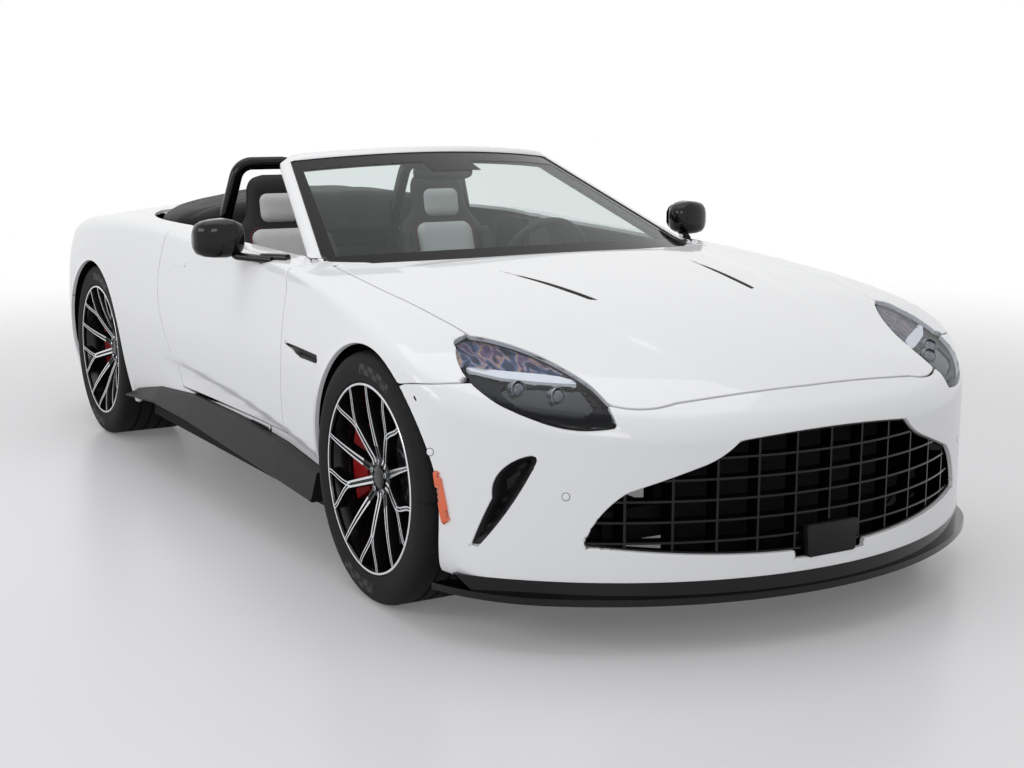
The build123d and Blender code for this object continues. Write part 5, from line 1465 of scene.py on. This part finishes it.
def build_seats(thread_length, thread_gap):
    """Two seats: shell, pads and stitching."""
    back = smoothed(SPINE)
    shell = spine_rings(back)
    base = spine_rings(smoothed([
        (RA + 770, 262, 222, 150), (RA + 800, 268, 236, 176), (RA + 1000, 276, 238, 186),
        (RA + 1200, 286, 238, 196), (RA + 1290, 292, 232, 180), (RA + 1318, 296, 216, 130),
        (RA + 1326, 297, 190, 80)]), power=4.0)
    front = [(x + thick / 2 - 3, z) for x, z, _, thick in back][4:]
    base_path = [(RA + 1322, 318), (RA + 1318, 352), (RA + 1292, 384), (RA + 1240, 392), (RA + 1040, 374),
                 (RA + 830, 358)]
    centre_base = rounded_rectangle(-148, 148, 46, 470, 34)
    centre_back = rounded_rectangle(-134, 134, 70, 528, 48)
    head_pad = rounded_rectangle(-84, 84, 550, 672, 34)
    side_base = [(166, 30), (206, 20, "arc"), (236, 60), (240, 260, "arc"), (232, 470), (204, 492, "arc"),
                 (176, 470), (162, 250, "arc")]
    side_back = [(160, 70), (196, 48, "arc"), (240, 90), (246, 260, "arc"), (214, 470), (188, 500, "arc"),
                 (158, 450), (152, 260, "arc")]
    pads = [(centre_base, base_path, 26, 46, "grey_leather"), (centre_back, front, 24, 46, "grey_leather"),
            (head_pad, front, 22, 40, "grey_leather")]
    for sign in (1, -1):
        for outline, path, crown, edge in ((side_base, base_path, 62, 38), (side_back, front, 58, 40)):
            turned = [(u * sign, v, *arc) for u, v, *arc in outline]
            turned = turned if sign > 0 else turned[::-1]
            pads.append((turned, path, crown, edge, "black_leather"))
    for side, sign in SIDES:
        shift = np.array((0, sign * SEAT_Y, 0))
        shell_all = joined(shell, base)
        soft(f"seat_frame_{side}", shell_all[0] + shift, shell_all[1], "black_leather", "leather_dark",
             [f"seat_{side}"])
        for i, (outline, path, crown, edge, material) in enumerate(pads):
            mesh = on_path(pillow(outline, crown, edge, 11.0), path, sink=4.0)
            slot = "leather_grey" if material == "grey_leather" else "leather_dark"
            soft(f"seat_pad_{i}_{side}", mesh[0] + shift, mesh[1], material, slot)
        rows = []
        for outline, path in ((centre_base, base_path), (centre_back, front)):
            line, normal = outline_path(outline, path, inset=-7.0, lift=1.0)
            rows.append(stitches(line, normal, thread_length, thread_gap))
        mesh = joined(*rows)
        new_piece(f"seat_stitching_{side}", mesh[0] + shift, mesh[1], "body", "leather_dark",
                  ["waxed_thread"], sharp=60)


def build_cabin_trim():
    """Door linings and their grey inserts."""
    xs = np.linspace(RA + 820, FA - 806, 40)
    edge = sample(CABIN_PLAN)
    left = edge[edge[:, 1] > 600]
    order = np.argsort(left[:, 0])
    rows = []
    for x in xs:
        y = float(np.interp(x, left[order, 0], left[order, 1]))
        top = frame_point(x, y + 4, 0.0)[0][2]
        section = [(y + 16, top - 15), (y + 3, top - 14), (y - 3, top - 20), (y - 2, top - 34),
                   (y + 14, top - 50), (806, top - 96), (808, 690), (800, 668), (770, 658), (764, 640),
                   (772, 622), (806, 606), (812, 500), (818, 420), (830, 384), (850, 378)]
        rows.append([(x, a, b) for a, b in section])
    lining = np.array(rows)
    insert = []
    for x in np.linspace(RA + 900, FA - 880, 30):
        insert.append([(x, 805.0 + 1.5, b) for b in np.linspace(716, 800, 6)])
    insert = np.array(insert)
    insert[:, 1:-1, 1] = 802.0
    for side, sign in SIDES:
        points, faces, _ = on_side(sign, *sheet_mesh(lining))
        new_piece(f"door_lining_{side}", points, faces, f"door_{side}", "leather_dark", ["black_leather"],
                  sharp=45)
        points, faces, _ = on_side(sign, *sheet_mesh(insert))
        new_piece(f"door_insert_{side}", points, faces, f"door_{side}", "leather_grey", ["grey_leather"],
                  sharp=45)


def steering_points(points):
    """From the steering wheel's own axes to the frame: +Z runs down the column's axis towards the driver."""
    tilt = radians(22.0)
    x_axis, z_axis = np.array((0, 1.0, 0)), np.array((-cos(tilt), 0, sin(tilt)))
    y_axis = np.cross(z_axis, x_axis)
    origin = np.array((DASH_X - 388, 368.0, 800.0))
    return np.asarray(points) @ np.stack([x_axis, y_axis, z_axis]) + origin


RIM_MIDDLE_R = 178         # steering wheel


def build_steering_wheel():
    """Rim, spokes and hub of the steering wheel."""
    turn = np.linspace(0, 2 * pi, 97)[:-1]
    section = round_section(29, 33, 16, 2.3)
    circle = [(RIM_MIDDLE_R + a, b) for a, b in section]
    rim = rings_mesh(np.array([[(r * cos(t), r * sin(t), b) for r, b in circle] for t in turn]), closed=True)
    hub = lathe([(0.5, -52), (22, -50), (24, -12), (46, -8), (60, 0), (62, 8), (58, 15), (44, 19), (20, 21),
                 (0.5, 21.5)], 48)
    arms = []
    for angle in (8, 172, 90):
        way = np.array((cos(radians(angle)), sin(radians(angle)), 0))
        path = [way * r + (0, 0, h) for r, h in ((46, 2), (80, 0), (120, -4), (150, -5), (172, -2))]
        arms.append(swept(path, round_section(34, 13, 16, 3.0), scale=[1.15, 1.0, 0.85, 0.8, 0.9]))
    grips = joined(rim, hub)
    new_piece("steering_wheel_rim", steering_points(grips[0]), grips[1], "steering_wheel", "leather_dark",
              ["black_leather"], ["steering_wheel"], sharp=50)
    arms = joined(*arms)
    new_piece("steering_wheel_arms", steering_points(arms[0]), arms[1], "steering_wheel", "gloss_black",
              ["satin_chrome"], sharp=50)


HOOP_X = RA + 530
HOOP_CORNERS = ((HOOP_X - 60, 560, 792), (HOOP_X - 20, 552, 960), (HOOP_X, 500, 1165), (HOOP_X, 262, 1165),
                (HOOP_X - 20, 214, 960), (HOOP_X - 60, 206, 792))


def build_roll_hoops():
    """The pair of hoops behind the seats."""
    path = rounded_path(HOOP_CORNERS, 70, 12)
    hoop = swept(path, round_section(52, 40, 24, 2.6), up=(1, 0, 0))
    points, faces = joined(hoop, flipped(hoop))
    new_piece("roll_hoop_pair", points, faces, "body", "gloss_black", ["gloss_black_plastic"],
              ["roll_hoops"], sharp=50)


TOP_PLAN = mirrored([(RA + 470, 0), (RA + 452, 480, "arc"), (RA + 300, 690), (RA + 160, 700, "arc"),
                     (RA - 50, 600), (RA - 118, 330, "arc"), (RA - 128, 0)])


def build_soft_top():
    """The folded hood: cloth over bows, so its top falls between cross ridges and sags at its middle."""
    points, faces = pillow(TOP_PLAN, 1.0, 90.0, 14.0)
    top = points[:, 2] > -1.0
    x, y = points[:, 0], points[:, 1]
    arch = 1052.0 - (97.0 / 760.0**2) * y**2
    bows = 9.0 * np.cos((x - RA - 175) / 290 * pi) ** 2 * np.exp(-(y / 620) ** 4)
    fold = (-7.0 * np.exp(-((x - RA - 30 - 0.00016 * y**2) / 9.0) ** 2)
            - 7.0 * np.exp(-((x - RA - 330) / 9.0) ** 2))
    wrinkle = 2.2 * np.sin(y / 47 + x / 90) * np.sin(x / 61 - y / 170)
    height = arch - 19.0 + bows + fold + wrinkle
    edge = np.clip(points[:, 2], 0, 1)
    points[:, 2] = np.where(top, 905.0 + (height - 905.0) * (0.25 + 0.75 * edge), 880.0)
    soft("folded_hood", points, faces, "hood_cloth", "hood_fabric", ["folded_soft_top"])


# ------------------------------------------------------------------ stage
CAMERA_PLACE = (5.2759, -2.7713, 1.4110)                         # metres
CAMERA_YAW, CAMERA_PITCH, CAMERA_ROLL = radians(149.647), radians(-10.249), radians(0.044)
LENS, SENSOR = 54.76, 36.0


def build_stage(floor_size):
    """Floor, white surroundings, lamps and camera."""
    mesh = bpy.data.meshes.new("studio_floor")
    half = floor_size / 2
    mesh.from_pydata([(-half, -half, 0), (half, -half, 0), (half, half, 0), (-half, half, 0)], [],
                     [(0, 1, 2, 3)])
    floor = bpy.data.objects.new("studio_floor", mesh)
    bpy.context.scene.collection.objects.link(floor)
    mesh.materials.append(bpy.data.materials["studio_floor_paint"])

    world = bpy.data.worlds.new("studio")
    bpy.context.scene.world = world
    world.use_nodes = True
    tree = world.node_tree
    background = tree.nodes["Background"]
    background.inputs["Color"].default_value = (1, 1, 1, 1)
    rays = add(tree, "LightPath")
    seen = add(tree, "Math", {"operation": "MAXIMUM"})
    tree.links.new(rays.outputs["Is Camera Ray"], seen.inputs[0])
    tree.links.new(rays.outputs["Is Glossy Ray"], seen.inputs[1])
    clear = add(tree, "Math", {"operation": "MAXIMUM"})
    tree.links.new(seen.outputs[0], clear.inputs[0])
    tree.links.new(rays.outputs["Is Transmission Ray"], clear.inputs[1])
    level = add(tree, "MapRange", {"To Min": AMBIENT, "To Max": 1.0}, Value=clear.outputs[0])
    tree.links.new(level.outputs["Result"], background.inputs["Strength"])

    for name, place, size, power in LIGHTS:
        light = bpy.data.lights.new(name, "AREA")
        light.shape, light.size, light.size_y, light.energy = "RECTANGLE", size[0], size[1], power
        lamp = bpy.data.objects.new(name, light)
        lamp.location = place
        lamp.rotation_euler = (Vector((0, 0, 0.5)) - Vector(place)).to_track_quat("-Z", "Y").to_euler()
        bpy.context.scene.collection.objects.link(lamp)

    ahead = Vector((cos(CAMERA_YAW) * cos(CAMERA_PITCH), sin(CAMERA_YAW) * cos(CAMERA_PITCH),
                    sin(CAMERA_PITCH)))
    side = ahead.cross(Vector((0, 0, 1))).normalized()
    up = side.cross(ahead)
    right = side * cos(CAMERA_ROLL) + up * sin(CAMERA_ROLL)
    up = up * cos(CAMERA_ROLL) - side * sin(CAMERA_ROLL)
    view = bpy.data.cameras.new("camera")
    view.lens, view.sensor_width, view.sensor_fit = LENS, SENSOR, "HORIZONTAL"
    camera = bpy.data.objects.new("camera", view)
    camera.matrix_world = Matrix.Translation(CAMERA_PLACE) @ Matrix((right, up, -ahead)).transposed().to_4x4()
    bpy.context.scene.collection.objects.link(camera)
    bpy.context.scene.camera = camera
    bpy.context.scene.view_settings.view_transform = "Standard"


AMBIENT = 0.54                                                   # the room's light, where white is 1
LIGHTS = (     # name, place and size in metres, watts
    ("overhead_softbox", (0.4, -0.4, 4.8), (5.2, 3.6), 70.0),
    ("front_softbox", (6.6, -3.4, 3.0), (2.2, 1.6), 44.0),
    ("side_softbox", (0.6, -6.4, 3.2), (4.0, 1.6), 74.0))


def studio_floor_paint():
    """White floor paint with a soft reflection; away from the car it runs into the white backdrop."""
    tree, shader = principled("studio_floor_paint", "DFDFE2", 0.3, Specular_IOR_Level=0.35)
    place, _ = grain(tree, shader, 400.0, 0.4)
    away = add(tree, "VectorMath", {"operation": "LENGTH"}, Vector=place.outputs["Object"])
    fade = add(tree, "MapRange",
               {"interpolation_type": "SMOOTHSTEP", "From Min": 2.2, "From Max": 7.5, "To Min": 0.12},
               Value=away.outputs["Value"])
    rays = add(tree, "LightPath")
    seen = add(tree, "Math", {"operation": "MAXIMUM"})
    tree.links.new(rays.outputs["Is Camera Ray"], seen.inputs[0])
    tree.links.new(rays.outputs["Is Glossy Ray"], seen.inputs[1])
    share = add(tree, "Math", {"operation": "MULTIPLY"}, Value=fade.outputs["Result"])
    tree.links.new(seen.outputs[0], share.inputs[1])
    backdrop = add(tree, "Emission")
    both = add(tree, "MixShader", None, Fac=share.outputs[0])
    tree.links.new(shader.outputs[0], both.inputs[1])
    tree.links.new(backdrop.outputs[0], both.inputs[2])
    tree.links.new(both.outputs[0], tree.nodes["Material Output"].inputs["Surface"])


# ------------------------------------------------------------------ the add-on
class RoadsterColours(bpy.types.PropertyGroup):
    """Colours that a buyer picks."""
    paint: bpy.props.FloatVectorProperty(
        name="Body paint", description="Colour of the body panels", subtype="COLOR", size=3, min=0, max=1,
        default=linear("E9EAEC")[:3])
    caliper: bpy.props.FloatVectorProperty(
        name="Brake calipers", description="Colour of the caliper enamel", subtype="COLOR", size=3, min=0,
        max=1, default=linear("A5161C")[:3])
    seat_centre: bpy.props.FloatVectorProperty(
        name="Seat centres", description="Colour of the leather in the middle of each seat", subtype="COLOR",
        size=3, min=0, max=1, default=linear("B9B9BA")[:3])
    thread: bpy.props.FloatVectorProperty(
        name="Thread", description="Colour of the stitching", subtype="COLOR", size=3, min=0, max=1,
        default=linear("A3161F")[:3])


class RoadsterSizes(bpy.types.PropertyGroup):
    """Sizes that change the look without changing the frame."""
    stitch_length: bpy.props.FloatProperty(
        name="Stitch length", description="Length of one stitch", default=0.009, min=0.003, max=0.02,
        unit="LENGTH")
    stitch_gap: bpy.props.FloatProperty(
        name="Stitch gap", description="Distance between two stitches", default=0.005, min=0.002, max=0.02,
        unit="LENGTH")
    floor_size: bpy.props.FloatProperty(
        name="Floor size", description="Side of the studio floor", default=60.0, min=12.0, max=100.0,
        unit="LENGTH")


class ROADSTER_OT_materials(bpy.types.Operator):
    """Make the materials and finish the frame's own pieces"""
    bl_idname, bl_label = "roadster.materials", "Materials"

    def execute(self, context):
        make_materials(context.scene.roadster_colours)
        finish_frame()
        return {"FINISHED"}


class ROADSTER_OT_panels(bpy.types.Operator):
    """Build the painted body panels"""
    bl_idname, bl_label = "roadster.panels", "Body panels"

    def execute(self, context):
        build_panels(grid_once())
        return {"FINISHED"}


class ROADSTER_OT_lamps(bpy.types.Operator):
    """Build the headlamps and the tail lamp"""
    bl_idname, bl_label = "roadster.lamps", "Lamps"

    def execute(self, context):
        build_headlamps(grid_once())
        build_tail_lamps(grid_once())
        return {"FINISHED"}


class ROADSTER_OT_openings(bpy.types.Operator):
    """Build the ducts, side markers, door handles and parking sensors"""
    bl_idname, bl_label = "roadster.openings", "Ducts and small parts"

    def execute(self, context):
        build_openings(grid_once())
        build_sensors()
        return {"FINISHED"}


class ROADSTER_OT_windscreen(bpy.types.Operator):
    """Build the windscreen and its surround"""
    bl_idname, bl_label = "roadster.windscreen", "Windscreen"

    def execute(self, context):
        build_windscreen()
        build_screen_parts()
        return {"FINISHED"}


class ROADSTER_OT_mirrors(bpy.types.Operator):
    """Build the door mirrors"""
    bl_idname, bl_label = "roadster.mirrors", "Mirrors"

    def execute(self, context):
        build_mirrors()
        return {"FINISHED"}


class ROADSTER_OT_wheels(bpy.types.Operator):
    """Build rims, tyres and brake discs"""
    bl_idname, bl_label = "roadster.wheels", "Wheels"

    def execute(self, context):
        build_wheels()
        return {"FINISHED"}


class ROADSTER_OT_seats(bpy.types.Operator):
    """Build the seats"""
    bl_idname, bl_label = "roadster.seats", "Seats"

    def execute(self, context):
        sizes = context.scene.roadster_sizes
        build_seats(sizes.stitch_length / MM, sizes.stitch_gap / MM)
        return {"FINISHED"}


class ROADSTER_OT_cabin(bpy.types.Operator):
    """Build the door linings and the steering wheel"""
    bl_idname, bl_label = "roadster.cabin", "Cabin trim"

    def execute(self, context):
        build_cabin_trim()
        build_steering_wheel()
        return {"FINISHED"}


class ROADSTER_OT_hood(bpy.types.Operator):
    """Build the roll hoops and the folded hood"""
    bl_idname, bl_label = "roadster.hood", "Roll hoops and hood"

    def execute(self, context):
        build_roll_hoops()
        build_soft_top()
        return {"FINISHED"}


class ROADSTER_OT_stage(bpy.types.Operator):
    """Build the studio: floor, light and camera"""
    bl_idname, bl_label = "roadster.stage", "Studio"

    def execute(self, context):
        build_stage(context.scene.roadster_sizes.floor_size)
        return {"FINISHED"}


OPERATORS = (ROADSTER_OT_materials, ROADSTER_OT_panels, ROADSTER_OT_lamps, ROADSTER_OT_openings,
             ROADSTER_OT_windscreen, ROADSTER_OT_mirrors, ROADSTER_OT_wheels, ROADSTER_OT_seats,
             ROADSTER_OT_cabin, ROADSTER_OT_hood, ROADSTER_OT_stage)


class ROADSTER_PT_panel(bpy.types.Panel):
    """Lists the operators and the settings"""
    bl_idname, bl_label = "ROADSTER_PT_panel", "Roadster"
    bl_space_type, bl_region_type, bl_category = "VIEW_3D", "UI", "Roadster"

    def draw(self, context):
        for group in (context.scene.roadster_colours, context.scene.roadster_sizes):
            for setting in group.bl_rna.properties.keys()[2:]:
                self.layout.prop(group, setting)
        for operator in OPERATORS:
            self.layout.operator(operator.bl_idname)


CLASSES = (RoadsterColours, RoadsterSizes, *OPERATORS, ROADSTER_PT_panel)
_grid = []


def grid_once():
    """The body's mesh, made the first time that it is asked for."""
    if not _grid:
        _grid.append(body_grid())
    return _grid[0]


def register():
    for each in CLASSES:
        bpy.utils.register_class(each)
    bpy.types.Scene.roadster_colours = bpy.props.PointerProperty(type=RoadsterColours)
    bpy.types.Scene.roadster_sizes = bpy.props.PointerProperty(type=RoadsterSizes)


def unregister():
    del bpy.types.Scene.roadster_sizes, bpy.types.Scene.roadster_colours
    for each in reversed(CLASSES):
        bpy.utils.unregister_class(each)


def main():
    register()
    for operator in OPERATORS:
        group, name = operator.bl_idname.split(".")
        getattr(getattr(bpy.ops, group), name)()


if __name__ == "__main__":
    main()
